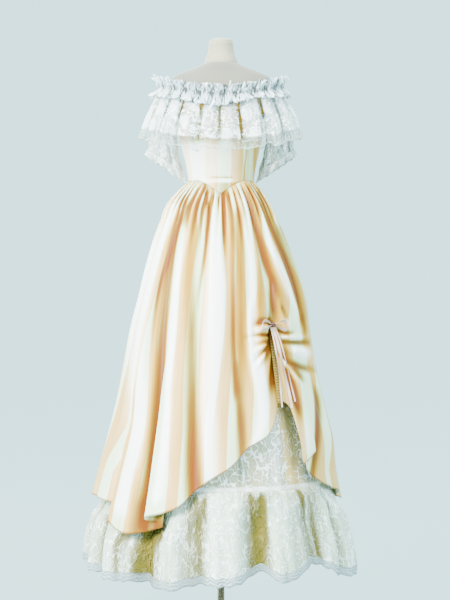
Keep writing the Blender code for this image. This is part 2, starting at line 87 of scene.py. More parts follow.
# How far the lower flounce swells where the overskirt doesn't cover it, and the height above which
# the upper tier lies in its shadow
FREE_PUFF = 0.016
TIER_SHADOW = 0.60

# Lace: how many waves each piece has, and how far they stand out
TIER_WAVES = 12
TIER_WAVE = 0.004
BERTHA_WAVES = 20
BERTHA_WAVE = 0.011
RUFFLE_WAVES = 27
RUFFLE_WAVE = 0.006
SLEEVE_WAVES = 8
SLEEVE_WAVE = 0.005
FRILL_WAVES = 10
FRILL_WAVE = 0.005

# Cloth that each lace piece has for a radian round it
TIER_CLOTH = 0.30
FLOUNCE_CLOTH = 0.46
BERTHA_CLOTH = 0.26
RUFFLE_CLOTH = 0.34
SLEEVE_CLOTH = 0.05
FRILL_CLOTH = 0.055

# Lengths of the lace pieces, and of the flounce's edging and its lines
FLOUNCE_LENGTH = 0.26
BERTHA_DROP = 0.150
RUFFLE_LENGTH = 0.07
SLEEVE_LENGTH = 0.19
FRILL_START = 0.16
FRILL = 0.024
EDGING = 0.021
EDGING_LINE = 0.010

# Flat cut of each piece, width and length
OVERSKIRT_CUT = (1.60, 1.00)

# Neckline ring, and its height at the front, side and back
RING_SIDE = 0.186
RING_FRONT = 0.118
RING_BACK = 0.112
RING_HEIGHTS = (1.549, 1.584, 1.560)

# Bodice's upper edge: how far it lies below the ring and inside it, and the heights of the chest,
# where it starts to reach for the ring, and of the armholes
BODICE_DROP = 0.006
BODICE_IN = 0.0031
CHEST = 1.470
ARMHOLE = 1.466

# Crease along the bodice's lower edge in front: the height of its line, dented and painted with shade,
# and of the band below it, which stands out and has a painted highlight
WAIST_LINE = 1.3065
WAIST_BAND = 1.2985

# Back placket: half its width in degrees, and how far its middle lies out of the panels' own
PLACKET_HALF = 2.6
PLACKET_OUT = 0.00125 + LAYER

# Stand, with the collar at the pole's foot, the torso's lower edge and the groove in the neck
BASE_RADIUS = 0.170
BASE_THICKNESS = 0.012
POLE_RADIUS = 0.0105
POLE_GAP = 0.0003
COLLAR_RADIUS = 0.0135
COLLAR_HEIGHT = 0.028
FORM_BOTTOM = 1.085
NECK_GROOVE = 1.6665

# Sides that the sleeves and the bow's loops repeat on
SIDES = (("left", -1), ("right", 1))

# Camera: its place, and half of what it sees at the stand's distance
CAMERA = (0.012, -5.1, 0.945)
HALF_VIEW = 0.9
SENSOR = 36.0

# Lamps: name, place, size, power, colour. All of them face one place.
LAMPS = (
    ("key", (-3.6, -3.4, 2.9), 2.6, 1700.0, (1.0, 0.96, 0.91)),
    ("fill", (3.6, -3.8, 2.2), 2.6, 350.0, (1.0, 1.0, 1.0)),
    ("top", (0.0, -0.6, 4.4), 2.4, 400.0, (1.0, 0.99, 0.97)),
    ("rim", (-1.5, 3.6, 2.8), 2.2, 700.0, (1.0, 0.98, 0.95)),
)
LIT_PLACE = (0.0, 0.0, 0.85)

# Backdrop: how far it reaches, the radius of its bend and how high it goes
BACKDROP_REACH = 13.0
BACKDROP_BEND = 5.0
CEILING = 14.0

# Lace's colour where a highlight is painted on it, and its threads'
LACE_HIGHLIGHT = (0.84, 0.90, 0.90)
THREADS = (0.88, 0.92, 0.90)

# Bodice: height, side, front, back
BODICE = (
    (1.240, 0.1010, 0.0860, 0.0800),
    (1.270, 0.0985, 0.0825, 0.0775),
    (1.300, 0.0978, 0.0785, 0.0760),
    (1.340, 0.1030, 0.0830, 0.0770),
    (1.380, 0.1120, 0.0930, 0.0820),
    (1.420, 0.1210, 0.1040, 0.0890),
    (1.460, 0.1270, 0.1110, 0.0950),
    (1.500, 0.1420, 0.1135, 0.1020),
    (1.550, 0.1832, 0.1150, 0.1092),
)

# Bodice panels: name, the angles they lie between, columns, shift of the stripes, flat cut
BODICE_PANELS = (
    ("bodice_front", -43.0, 43.0, 110, 0.0, (0.21, 0.26)),
    ("bodice_side_front_left", -90.0, -43.0, 60, 0.016, (0.11, 0.19)),
    ("bodice_side_front_right", 43.0, 90.0, 60, 0.0, (0.11, 0.19)),
    ("bodice_back_left", -180.0, -90.0, 80, 0.0, (0.17, 0.26)),
    ("bodice_back_right", 90.0, 180.0, 80, 0.0, (0.17, 0.26)),
)
PANEL_TRIM = 0.16

# Dress form: height, side, front, back
FORM = (
    (1.085, 0.1280, 0.1020, 0.1060),
    (1.130, 0.1330, 0.1060, 0.1100),
    (1.190, 0.1200, 0.0960, 0.0980),
    (1.250, 0.0980, 0.0790, 0.0770),
    (1.285, 0.0915, 0.0735, 0.0700),
    (1.300, 0.0934, 0.0741, 0.0716),
    (1.340, 0.1014, 0.0814, 0.0754),
    (1.380, 0.1103, 0.0913, 0.0803),
    (1.420, 0.1194, 0.1023, 0.0874),
    (1.460, 0.1230, 0.1060, 0.0920),
    (1.500, 0.1300, 0.1010, 0.0960),
    (1.540, 0.1480, 0.0940, 0.0960),
    (1.575, 0.1600, 0.0860, 0.0900),
    (1.600, 0.1560, 0.0740, 0.0780),
    (1.617, 0.1380, 0.0640, 0.0680),
    (1.630, 0.1080, 0.0580, 0.0620),
    (1.643, 0.0740, 0.0540, 0.0570),
    (1.6525, 0.0540, 0.0500, 0.0520),
)

# Neck block: height, radius
NECK = (
    (1.6530, 0.0495),
    (1.6620, 0.0480),
    (1.6800, 0.0415),
    (1.7000, 0.0375),
    (1.7180, 0.0350),
    (1.7250, 0.0310),
    (1.7280, 0.0230),
)

# Overskirt: drop below the waist seam, flare to the left, right, front and back,
# and how far the underskirt stays inside it
SKIRT = (
    (0.000, 0.000, 0.000, 0.000, 0.000, 0.0016),
    (0.030, 0.030, 0.024, 0.020, 0.028, 0.0075),
    (0.064, 0.060, 0.048, 0.040, 0.055, 0.0120),
    (0.120, 0.084, 0.076, 0.070, 0.085, 0.0180),
    (0.180, 0.106, 0.103, 0.098, 0.112, 0.0230),
    (0.260, 0.129, 0.135, 0.130, 0.142, 0.0290),
    (0.350, 0.151, 0.161, 0.160, 0.170, 0.0340),
    (0.420, 0.170, 0.169, 0.178, 0.188, 0.0380),
    (0.540, 0.194, 0.188, 0.207, 0.215, 0.0410),
    (0.670, 0.219, 0.218, 0.235, 0.242, 0.0430),
    (0.770, 0.245, 0.243, 0.258, 0.264, 0.0440),
    (0.860, 0.270, 0.252, 0.278, 0.284, 0.0450),
    (0.930, 0.289, 0.265, 0.295, 0.300, 0.0450),
    (1.020, 0.312, 0.285, 0.315, 0.320, 0.0450),
)

# Back hem of the overskirt: angle from the front, height
BACK_HEM = (
    (-180, 0.345),
    (-140, 0.338),
    (-110, 0.350),
    (-90, 0.365),
    (90, 0.350),
    (115, 0.345),
    (145, 0.338),
    (180, 0.345),
)

# Front hem of the overskirt, with its overlapping folds: angle of the cloth, angle where it hangs,
# how far out it lies, share of the drop where the fold starts, height of the hem
FRONT_HEM = (
    (-92, -92, 0.000, 0.38, 0.365),
    (-80, -77, 0.000, 0.38, 0.368),
    (-74, -66, -0.001, 0.38, 0.366),
    (-69, -58, -0.002, 0.38, 0.361),
    (-66.5, -54.5, -0.003, 0.38, 0.352),
    (-64, -54.5, 0.003, 0.38, 0.320),
    (-60, -50, 0.004, 0.36, 0.301),
    (-54, -44, 0.003, 0.32, 0.286),
    (-46, -36.5, 0.000, 0.26, 0.287),
    (-39, -30, -0.003, 0.20, 0.299),
    (-34, -25.5, -0.005, 0.20, 0.311),
    (-29, -33.3, 0.005, 0.20, 0.329),
    (-23, -25, 0.004, 0.20, 0.347),
    (-16, -17.3, 0.001, 0.30, 0.372),
    (-12, -13, 0.000, 0.40, 0.403),
    (-6, -6.5, 0.000, 0.50, 0.434),
    (0, -0.4, 0.000, 0.50, 0.457),
    (4, 4, 0.000, 0.50, 0.473),
    (8.5, 8.5, 0.000, 0.50, 0.497),
    (13, 12.8, 0.000, 0.50, 0.524),
    (18, 17.7, 0.000, 0.50, 0.541),
    (24, 24, 0.000, 0.50, 0.565),
    (27, 26.7, 0.000, 0.50, 0.585),
    (30, 30, 0.000, 0.50, 0.612),
    (32.5, 32.3, 0.000, 0.50, 0.638),
    (34.5, 34.5, 0.000, 0.52, 0.652),
    (38, 38, 0.000, 0.54, 0.650),
    (41, 40, 0.002, 0.56, 0.628),
    (44, 41.2, 0.004, 0.56, 0.560),
    (48, 42.2, 0.004, 0.56, 0.480),
    (50, 44.2, 0.004, 0.56, 0.484),
    (56, 51.6, 0.004, 0.56, 0.510),
    (62, 45.5, -0.004, 0.56, 0.468),
    (70, 57.6, -0.003, 0.56, 0.415),
    (76, 68, -0.001, 0.56, 0.398),
    (84, 80, 0.000, 0.56, 0.378),
    (92, 92, 0.000, 0.56, 0.350),
)

# Overskirt folds: angle at the waist, halfway and at the hem, the depth at each, half-width, painted shade
SKIRT_FOLDS = (
    (-57, -52, -55, 0.004, 0.010, 0.018, 4.5, 0.0),
    (-49, -38, -31, 0.010, 0.018, 0.024, 4.5, 0.0),
    (-22, -25, -22, 0.006, 0.004, 0.001, 5.0, 0.0),
    (-13, -14, -12, 0.008, 0.010, 0.016, 5.0, 0.0),
    (4, 8, 6, 0.009, 0.011, 0.002, 4.5, 0.0),
    (22, 17, 14, 0.003, 0.004, 0.012, 5.5, 0.0),
    (34, 37, 46, 0.011, 0.012, 0.004, 4.5, 0.0),
    (57, 68, 70, 0.010, 0.014, 0.014, 4.5, 0.0),
    (84, 86, 86, 0.006, 0.012, 0.020, 6.0, 0.6),
    (108, 107, 106, 0.008, 0.014, 0.022, 6.0, 0.7),
    (129, 128, 127, 0.006, 0.012, 0.020, 7.0, 0.7),
    (150, 149, 148, 0.008, 0.014, 0.022, 7.0, 0.7),
    (173, 172, 172, 0.006, 0.012, 0.018, 7.0, 0.7),
    (-163, -162, -161, 0.008, 0.014, 0.022, 7.0, 0.7),
    (-141, -140, -139, 0.006, 0.012, 0.020, 7.0, 0.7),
    (-119, -118, -117, 0.008, 0.014, 0.022, 7.0, 0.7),
    (-99, -98, -97, 0.006, 0.012, 0.020, 6.0, 0.6),
    (-78, -75, -76, 0.006, 0.008, 0.010, 5.0, 0.3),
)

# Creases that fan out from the drawn-up place: from, over and to, each across and height,
# then depth (negative for a ridge), half-width, painted shade (negative for a painted highlight)
CREASES = (
    (0.163, 0.858, 0.190, 0.846, 0.222, 0.848, 0.0050, 0.0070, 1.1),
    (0.168, 0.824, 0.230, 0.825, 0.330, 0.808, 0.0080, 0.0090, 0.95),
    (0.168, 0.838, 0.205, 0.838, 0.262, 0.832, -0.0070, 0.0060, -0.9),
    (0.172, 0.810, 0.186, 0.795, 0.204, 0.768, 0.0030, 0.0130, 0.8),
    (0.205, 0.800, 0.235, 0.795, 0.275, 0.775, -0.0090, 0.0130, -1.0),
    (0.170, 0.794, 0.195, 0.748, 0.330, 0.728, 0.0085, 0.0095, 1.0),
    (0.174, 0.788, 0.187, 0.745, 0.252, 0.680, -0.0060, 0.0055, -1.2),
    (0.210, 0.748, 0.232, 0.728, 0.242, 0.690, 0.0020, 0.0090, 0.7),
    (0.188, 0.752, 0.208, 0.700, 0.242, 0.570, 0.0080, 0.0110, 2.1),
    (0.146, 0.878, 0.104, 0.895, 0.086, 0.852, 0.0050, 0.0095, 1.2),
    (0.146, 0.868, 0.118, 0.866, 0.096, 0.858, -0.0060, 0.0070, -0.7),
    (0.146, 0.842, 0.112, 0.850, 0.060, 0.836, 0.0070, 0.0062, 1.5),
    (0.140, 0.828, 0.118, 0.822, 0.070, 0.812, 0.0020, 0.0100, 1.0),
    (0.146, 0.836, 0.138, 0.808, 0.120, 0.750, 0.0060, 0.0085, 1.5),
    (0.136, 0.808, 0.118, 0.798, 0.080, 0.750, 0.0050, 0.0060, 1.1),
    (0.128, 0.818, 0.110, 0.810, 0.090, 0.790, -0.0060, 0.0050, -0.6),
    (0.130, 0.800, 0.118, 0.780, 0.095, 0.740, -0.0060, 0.0060, -0.6),
    (0.152, 0.780, 0.147, 0.745, 0.143, 0.650, 0.0070, 0.0085, 1.6),
    (0.088, 0.945, 0.070, 0.800, 0.118, 0.640, -0.0050, 0.0090, -0.9),
    (0.148, 1.000, 0.150, 0.940, 0.156, 0.875, 0.0060, 0.0080, 0.8),
    (0.176, 0.930, 0.190, 0.905, 0.196, 0.880, 0.0050, 0.0060, 0.6),
)

# Heights at which the front's stripe edges are given, and the angle of each edge there;
# ivory starts at the first edge, peach at the second and so on
EDGE_HEIGHTS = (1.224, 1.134, 0.990, 0.848, 0.682, 0.580, 0.446)
STRIPE_EDGES = (
    (-81.0, -82.0, -86.0, -84.0, -82.0, -88.0, -94.0),
    (-70.0, -73.0, -77.0, -75.0, -78.0, -80.0, -86.0),
    (-60.0, -63.0, -65.5, -64.0, -60.0, -58.0, -74.0),
    (-51.5, -55.5, -57.5, -58.0, -56.5, -52.5, -60.0),
    (-46.5, -49.5, -51.5, -54.5, -54.5, -50.5, -51.0),
    (-42.5, -46.5, -46.5, -47.5, -43.0, -41.0, -43.0),
    (-41.0, -43.5, -44.0, -42.5, -39.0, -38.0, -38.5),
    (-40.0, -41.5, -38.5, -38.5, -37.5, -37.0, -37.5),
    (-38.5, -40.0, -37.0, -36.0, -34.5, -33.3, -33.3),
    (-33.5, -33.0, -30.0, -27.5, -28.0, -26.0, -24.0),
    (-26.0, -21.5, -21.5, -21.5, -20.5, -19.5, -19.0),
    (-18.5, -15.0, -12.5, -13.5, -13.0, -13.0, -14.5),
    (-11.0, -10.0, -8.5, -7.5, -6.5, -8.0, -7.5),
    (-0.5, 1.5, 3.5, 2.0, -2.0, -4.0, -3.5),
    (12.0, 12.5, 9.5, 8.0, 5.0, 3.5, 2.5),
    (17.0, 14.5, 11.0, 9.5, 11.5, 9.5, 8.5),
    (27.0, 21.0, 17.5, 17.0, 18.5, 16.5, 14.5),
    (34.0, 29.0, 25.5, 19.5, 27.0, 24.5, 22.0),
    (40.0, 33.5, 31.5, 31.0, 35.0, 35.5, 35.5),
    (40.5, 34.5, 38.0, 37.0, 37.5, 37.5, 37.5),
    (48.5, 40.0, 51.5, 46.0, 49.0, 46.0, 44.0),
    (57.0, 49.0, 58.0, 62.0, 63.0, 56.0, 50.0),
    (72.0, 62.0, 73.0, 77.0, 72.5, 65.0, 60.5),
    (87.0, 82.0, 82.0, 87.0, 83.0, 78.0, 71.0),
)

# Painted shade in the front's hollows and painted highlights on its ridges: the reach of each to the left
# and to the right, then places down it, each as height, across and how much shade is painted there
# (negative for a painted highlight)
MARKS = (
    (0.025, 0.010, (1.224, -0.103, 0.9), (1.134, -0.130, 1.0), (0.944, -0.155, 0.85),
        (0.680, -0.170, 1.35), (0.464, -0.192, 1.35), (0.310, -0.214, 1.0)),
    (0.006, 0.006, (1.174, -0.120, 0.4), (1.000, -0.174, 0.9), (0.858, -0.199, 0.3)),
    (0.026, 0.019, (1.224, -0.064, 0.6), (1.046, -0.088, 0.5), (0.848, -0.087, 0.85),
        (0.682, -0.083, 1.0), (0.500, -0.076, 1.25), (0.400, -0.070, 1.3)),
    (0.006, 0.006, (1.262, -0.046, 1.1), (1.224, -0.038, 1.3),
        (1.134, -0.041, 1.2), (0.950, -0.064, 0.2)),
    (0.008, 0.013, (1.252, 0.006, 1.3), (1.134, 0.006, 1.1), (1.040, 0.010, 0.3)),
    (0.008, 0.006, (1.130, 0.032, 0.3), (0.944, 0.036, 0.85), (0.818, 0.036, 0.9), (0.690, 0.040, 0.3)),
    (0.012, 0.013, (0.740, 0.043, 0.3), (0.600, 0.056, 1.0), (0.480, 0.060, 0.8)),
    (0.018, 0.020, (1.190, 0.048, 0.6), (0.990, 0.056, 0.6), (0.820, 0.056, 0.65), (0.700, 0.050, 0.4)),
    (0.010, 0.018, (1.262, 0.080, 0.8), (1.134, 0.110, 1.15), (1.036, 0.135, 1.25), (0.930, 0.180, 0.3)),
    (0.010, 0.010, (1.020, 0.108, 0.3), (0.950, 0.112, 0.6), (0.885, 0.114, 0.5)),
    (0.014, 0.016, (0.985, 0.146, 0.4), (0.940, 0.152, 0.65), (0.890, 0.158, 0.5)),
    (0.007, 0.010, (1.262, 0.112, 0.9), (1.136, 0.156, 1.3), (1.048, 0.190, 1.15), (0.860, 0.246, 0.7)),
    (0.010, 0.020, (1.150, 0.172, 0.4), (1.000, 0.214, 0.55), (0.900, 0.238, 0.4)),
    (0.004, 0.005, (0.850, -0.229, 0.2), (0.714, -0.246, 0.5),
        (0.562, -0.263, 0.75), (0.356, -0.312, 0.8)),
    (0.016, 0.018, (0.450, -0.236, 0.2), (0.380, -0.240, 0.55), (0.290, -0.248, 0.8)),
    (0.035, 0.030, (0.350, -0.185, 1.0), (0.290, -0.172, 1.1)),
    (0.006, 0.014, (0.700, 0.268, 0.3), (0.674, 0.274, 0.8), (0.568, 0.277, 1.2), (0.440, 0.258, 1.0)),
    (0.012, 0.015, (1.134, -0.108, -0.6), (0.992, -0.130, -0.8), (0.816, -0.146, -0.9),
        (0.576, -0.160, -1.0), (0.360, -0.188, -1.0)),
    (0.027, 0.022, (1.200, -0.014, -0.6), (1.050, -0.012, -1.1), (0.848, -0.020, -1.2),
        (0.650, -0.034, -1.1), (0.460, -0.024, -0.7)),
    (0.034, 0.020, (1.210, -0.138, -0.7), (1.108, -0.182, -1.0), (0.992, -0.214, -1.1),
        (0.846, -0.240, -1.0), (0.572, -0.234, -0.8), (0.360, -0.280, -0.8)),
    (0.012, 0.012, (1.230, 0.066, -0.4), (1.134, 0.082, -0.5),
        (0.992, 0.088, -0.6), (0.870, 0.094, -0.5)),
    (0.010, 0.012, (1.180, 0.118, -0.5), (1.094, 0.147, -1.0),
        (1.014, 0.180, -0.9), (0.914, 0.223, -0.5)),
    (0.012, 0.012, (0.678, 0.226, -0.2), (0.600, 0.244, -0.4), (0.530, 0.249, -0.4)),
    (0.012, 0.016, (0.840, 0.098, -0.9), (0.682, 0.116, -1.1),
        (0.578, 0.110, -0.8), (0.530, 0.090, -0.5)),
)

# Lower flounce: drop below its seam, puff to the left, right, front and back
FLOUNCE = (
    (0.000, 0.000, 0.000, 0.000, 0.000),
    (0.015, 0.012, 0.014, 0.012, 0.012),
    (0.035, 0.016, 0.026, 0.022, 0.022),
    (0.065, 0.025, 0.038, 0.034, 0.032),
    (0.105, 0.040, 0.053, 0.048, 0.044),
    (0.155, 0.056, 0.067, 0.062, 0.057),
    (0.205, 0.062, 0.078, 0.070, 0.067),
    (0.255, 0.064, 0.084, 0.074, 0.074),
)

# Lower flounce folds: angle, depth, half-width, rise of the hem, painted shade
FLOUNCE_FOLDS = (
    (-78, 0.018, 3.5, 0.010, 0.5),
    (-62, 0.026, 3.5, 0.012, 0.6),
    (-47, 0.012, 3.0, 0.000, 0.3),
    (-34, 0.044, 7.0, 0.012, 1.15),
    (-10.5, 0.036, 6.0, 0.012, 0.95),
    (12, 0.030, 5.0, 0.010, 0.45),
    (18.5, 0.036, 4.2, 0.034, 1.05),
    (34, 0.014, 3.2, 0.000, 0.45),
    (45.5, 0.034, 7.0, 0.034, 0.80),
    (63, 0.030, 4.0, 0.006, 0.7),
    (82, 0.024, 4.0, 0.006, 0.5),
)
REAR_FOLDS = 12
REAR_FIRST = 98.0
REAR_PITCH = 14.9
REAR_FOLD_DEPTH = 0.028
REAR_FOLD_WIDTH = 4.4

# Hem of the lower flounce: angle, height
FLOUNCE_HEM = (
    (-180, 0.150),
    (-120, 0.150),
    (-92, 0.168),
    (-75, 0.165),
    (-64, 0.148),
    (-50, 0.146),
    (-38, 0.140),
    (-28, 0.130),
    (-16, 0.134),
    (-4, 0.145),
    (10, 0.148),
    (26, 0.148),
    (34, 0.160),
    (48, 0.158),
    (62, 0.142),
    (82, 0.138),
    (110, 0.150),
    (180, 0.150),
)

# Bertha flounce: share of its drop, flare to the side, front and back
BERTHA = (
    (0.0, 0.000, 0.000, 0.000),
    (0.2, 0.008, 0.005, 0.005),
    (0.6, 0.036, 0.019, 0.020),
    (1.0, 0.056, 0.034, 0.034),
)

# Neck ruffle: share of its length, height above its elastic, flare, share of the wave
RUFFLE = (
    (0.00, 0.028, 0.010, 1.0),
    (0.35, 0.010, 0.004, 0.4),
    (0.55, 0.000, 0.001, 0.1),
    (1.00, -0.028, 0.020, 1.0),
)

# Sleeve loops: centre x, y, z, half-length across x and z, half-length along y
SLEEVE = (
    (0.1586, 0.004, 1.526, 0.0246, 0.0540, 0.046),
    (0.168, 0.010, 1.466, 0.0310, 0.0330, 0.047),
    (0.168, 0.024, 1.410, 0.0380, 0.0330, 0.046),
    (0.168, 0.048, 1.366, 0.0500, 0.0330, 0.052),
)

# Knot and bow of the drawstring, and the length of cloth in a loop and in a straight ribbon
KNOT_OUT = -0.0053
KNOT_DROP = 0.006
KNOT_SIZES = (0.007, 0.012, 0.007)
LOOP_LENGTH = 0.040
LOOP_RISE = 0.012
LOOP_WIDTH = 0.016
LOOP_SWELL = 0.0128
LOOP_CLOTH = 0.08
STRIP_CLOTH = 0.24

# Drawstring's tails: angle, height and distance from the skirt down each, then name and width
WIDE_TAIL = (
    (34.9, 0.8664, -0.0055),
    (35.4, 0.820, 0.006),
    (36.6, 0.760, 0.012),
    (37.8, 0.690, 0.013),
    (38.6, 0.636, 0.012),
)
LEFT_TAIL = (
    (33.3, 0.8664, -0.0055),
    (33.2, 0.820, 0.006),
    (33.3, 0.760, 0.012),
    (32.9, 0.690, 0.013),
    (32.6, 0.640, 0.012),
)
RIGHT_TAIL = (
    (36.5, 0.8664, -0.0055),
    (37.4, 0.820, 0.009),
    (38.8, 0.760, 0.014),
    (40.0, 0.690, 0.016),
    (40.8, 0.655, 0.016),
)
TAILS = (
    ("drawstring_tail_wide", 0.011, WIDE_TAIL),
    ("drawstring_tail_left", 0.005, LEFT_TAIL),
    ("drawstring_tail_right", 0.005, RIGHT_TAIL),
)

# Lace ties on the underskirt, as the tails
LEFT_TIE = (
    (11.5, 0.535, -0.0003),
    (11.2, 0.500, 0.005),
    (11.9, 0.460, 0.008),
    (11.5, 0.426, 0.010),
)
RIGHT_TIE = (
    (50.0, 0.500, -0.0025),
    (52.0, 0.470, 0.006),
    (54.5, 0.432, 0.012),
)
TIES = (
    ("lace_tie_left", 0.008, LEFT_TIE),
    ("lace_tie_right", 0.009, RIGHT_TIE),
)


# Curves and sizes


def smooth(xs, ys, x):
    """A smooth curve through a table's points."""
    xs, ys = np.asarray(xs, float), np.asarray(ys, float)
    slope = np.gradient(ys, xs)
    i = np.clip(np.searchsorted(xs, x) - 1, 0, len(xs) - 2)
    gap = xs[i + 1] - xs[i]
    t = np.clip((x - xs[i]) / gap, 0.0, 1.0)
    rise = t * t * (3 - 2 * t)
    bend = t * (1 - t) * gap * ((1 - t) * slope[i] - t * slope[i + 1])
    return ys[i] + (ys[i + 1] - ys[i]) * rise + bend


def column(rows, k):
    return [row[k] for row in rows]


def read(rows, x):
    """Every column of a table after the first, at x."""
    keys = column(rows, 0)
    return [smooth(keys, column(rows, k), x) for k in range(1, len(rows[0]))]


def step(x):
    x = np.clip(x, 0.0, 1.0)
    return x * x * (3 - 2 * x)


def hump(x):
    return np.exp(-x * x)


def between(a, b, t):
    return a + (b - a) * t


def wrapped(degrees):
    return (degrees + 180.0) % 360.0 - 180.0


def oval(angle, left, right, front, back):
    """The half-sizes across and along at an angle from the front, towards the right."""
    side = between(left, right, 0.5 + 0.5 * np.sin(angle))
    depth = between(back, front, 0.5 + 0.5 * np.cos(angle))
    return side, depth


def points(angle, side, depth, height):
    return np.stack([side * np.sin(angle), -depth * np.cos(angle), height + 0 * angle], axis=-1)


def rumple(a, b, seed):
    """Soft irregular unevenness between about -1 and 1."""
    total = np.zeros(np.broadcast(a, b).shape)
    for k in range(4):
        turn = seed * 1.7 + k * 2.4
        place = a * (1.0 + 0.63 * k) * math.cos(turn) + b * (1.0 + 0.47 * k) * math.sin(turn)
        total = total + np.sin(place + turn * 3)
    return total / 2.6


def ripple(angle, v, waves, seed):
    """Uneven ripples round a closed ring, between about -1 and 1."""
    total = 0.0 * angle
    for k in range(5):
        count = round(waves * (0.55 + 0.37 * k))
        total = total + np.sin(count * angle + seed * 1.9 * (k + 1) + (k - 2) * 2.1 * v)
    return total / 2.2


def waist_seam(angle):
    """The seam's height: level, with a point at the centre front."""
    away = np.abs(np.degrees(angle)) / POINT_HALF_ANGLE
    return WAIST - BODICE_POINT * np.clip(1 - away, 0.0, 1.0) ** 1.3


def bodice_sizes(angle, height, out=0.0):
    side, front, back = read(BODICE, height)
    side, depth = oval(angle, side, side, front, back)
    return side + out, depth + out


def skirt_point(angle, height, clear, out):
    """A point of a skirt: the waist seam's oval with the flare of the drop below it."""
    top = waist_seam(angle)
    left, right, front, back, inside = read(SKIRT, top - height)
    side, depth = bodice_sizes(angle, top)
    flare_side, flare_depth = oval(angle, left, right, front, back)
    out = out - clear * inside
    return points(angle, side + flare_side + out, depth + flare_depth + out, height)


# Overskirt


def skirt_folds(degrees, v):
    """How deep the overskirt's folds are at a place of the cloth, and how much shade is painted there."""
    depth = np.zeros_like(degrees)
    shade = np.zeros_like(degrees)
    for waist, middle, hem, *depths, half, tint in SKIRT_FOLDS:
        track = smooth((0.0, 0.5, 1.0), (waist, middle, hem), v)
        deep = smooth((0.0, 0.12, 0.5, 1.0), (0.0, *depths), v)
        away = wrapped(degrees - track) / half
        depth += deep * hump(away)
        shade += tint * np.clip(deep / 0.011, 0.0, 1.3) * hump(away * 1.15)
    return depth, shade


def crease_depth(place):
    """The relief of the creases that fan out from the casing, and the shade painted in them."""
    across, height = place[..., 0], place[..., 2]
    near = (across > 0.05) & (height < 1.0) & (place[..., 1] < 0.0)
    x, z = across[near], height[near]
    deep, dark = np.zeros_like(x), np.zeros_like(x)
    t = np.linspace(0.0, 1.0, 41)[:, None]
    for x0, z0, x1, z1, x2, z2, depth, half, tint in CREASES:
        run_x = (1 - t) ** 2 * x0 + 2 * t * (1 - t) * x1 + t * t * x2
        run_z = (1 - t) ** 2 * z0 + 2 * t * (1 - t) * z1 + t * t * z2
        away = np.hypot(x - run_x, z - run_z)
        nearest = away.argmin(axis=0)
        along = t[nearest, 0]
        fade = step((1.02 - along) / 0.55) * step(along / 0.15 + 0.5)
        mark = hump(away.min(axis=0) / (half * between(0.75, 1.3, along))) * fade
        deep += depth * mark
        # dark is the creases' painted shade, negative for a painted highlight.
        dark += tint * mark
    depth, shade = np.zeros_like(across), np.zeros_like(across)
    depth[near], shade[near] = deep, dark
    return depth, shade


def mark_shade(place):
    """The painted shade of the front's main hollows and the painted highlights of its ridges, which fade out
    past their ends.
    """
    across, height = place[..., 0], place[..., 2]
    shade = np.zeros_like(across)
    for left, right, *run in MARKS:
        # depths are how much shade is painted at each place, negative for a painted highlight.
        heights, places, depths = (column(run, k)[::-1] for k in range(3))
        away = across - smooth(heights, places, height)
        reach = np.where(away < 0, left, right)
        ends = step((height - heights[0]) / MARK_FADE + 1) * step((heights[-1] - height) / MARK_FADE + 1)
        shade += smooth(heights, depths, height) * hump(away / reach) * ends
    return shade


def front_stripes(degrees, height):
    """Which stripe of the front a place lies in, counted from its first edge."""
    heights = EDGE_HEIGHTS[::-1]
    edges = [smooth(heights, edge[::-1], height) for edge in STRIPE_EDGES]
    count = np.clip(degrees - edges[0], None, 0.0) / SIDE_STRIPE
    for near, far in zip(edges, edges[1:]):
        count = count + np.clip((degrees - near) / np.maximum(far - near, LEAST_STRIPE), 0.0, 1.0)
    return count + np.clip(degrees - edges[-1], 0.0, None) / SIDE_STRIPE


def front_cloth(cloth, v):
    """Where the front's cloth hangs: its angle, how far out it lies and its hem."""
    shown, layer, start, hem = read(FRONT_HEM, cloth)
    blend = step((v - start) / FOLD_REACH)
    return cloth + (shown - cloth) * blend, layer * blend, hem


def back_cloth(cloth, v):
    degrees = wrapped(cloth)
    return degrees, np.zeros_like(degrees), smooth(column(BACK_HEM, 0), column(BACK_HEM, 1), degrees)


def cloth_run(place, valley, width):
    """How far along the back's cloth each point of a row lies: the run over the surface, with the cloth
    that the row can't show taken up in its valleys, counted from the middle."""
    ground = np.diff(place[..., :2], axis=1)
    shown = np.hypot(ground[..., 0], ground[..., 1])
    weight = 0.5 * (valley[:, 1:] + valley[:, :-1]) + 0.15
    hidden = np.clip(width - shown.sum(axis=1, keepdims=True), 0.0, None)
    run = shown + hidden * weight / weight.sum(axis=1, keepdims=True)
    run = np.concatenate([np.zeros((len(run), 1)), np.cumsum(run, axis=1)], axis=1)
    return run - run[:, -1:] / 2


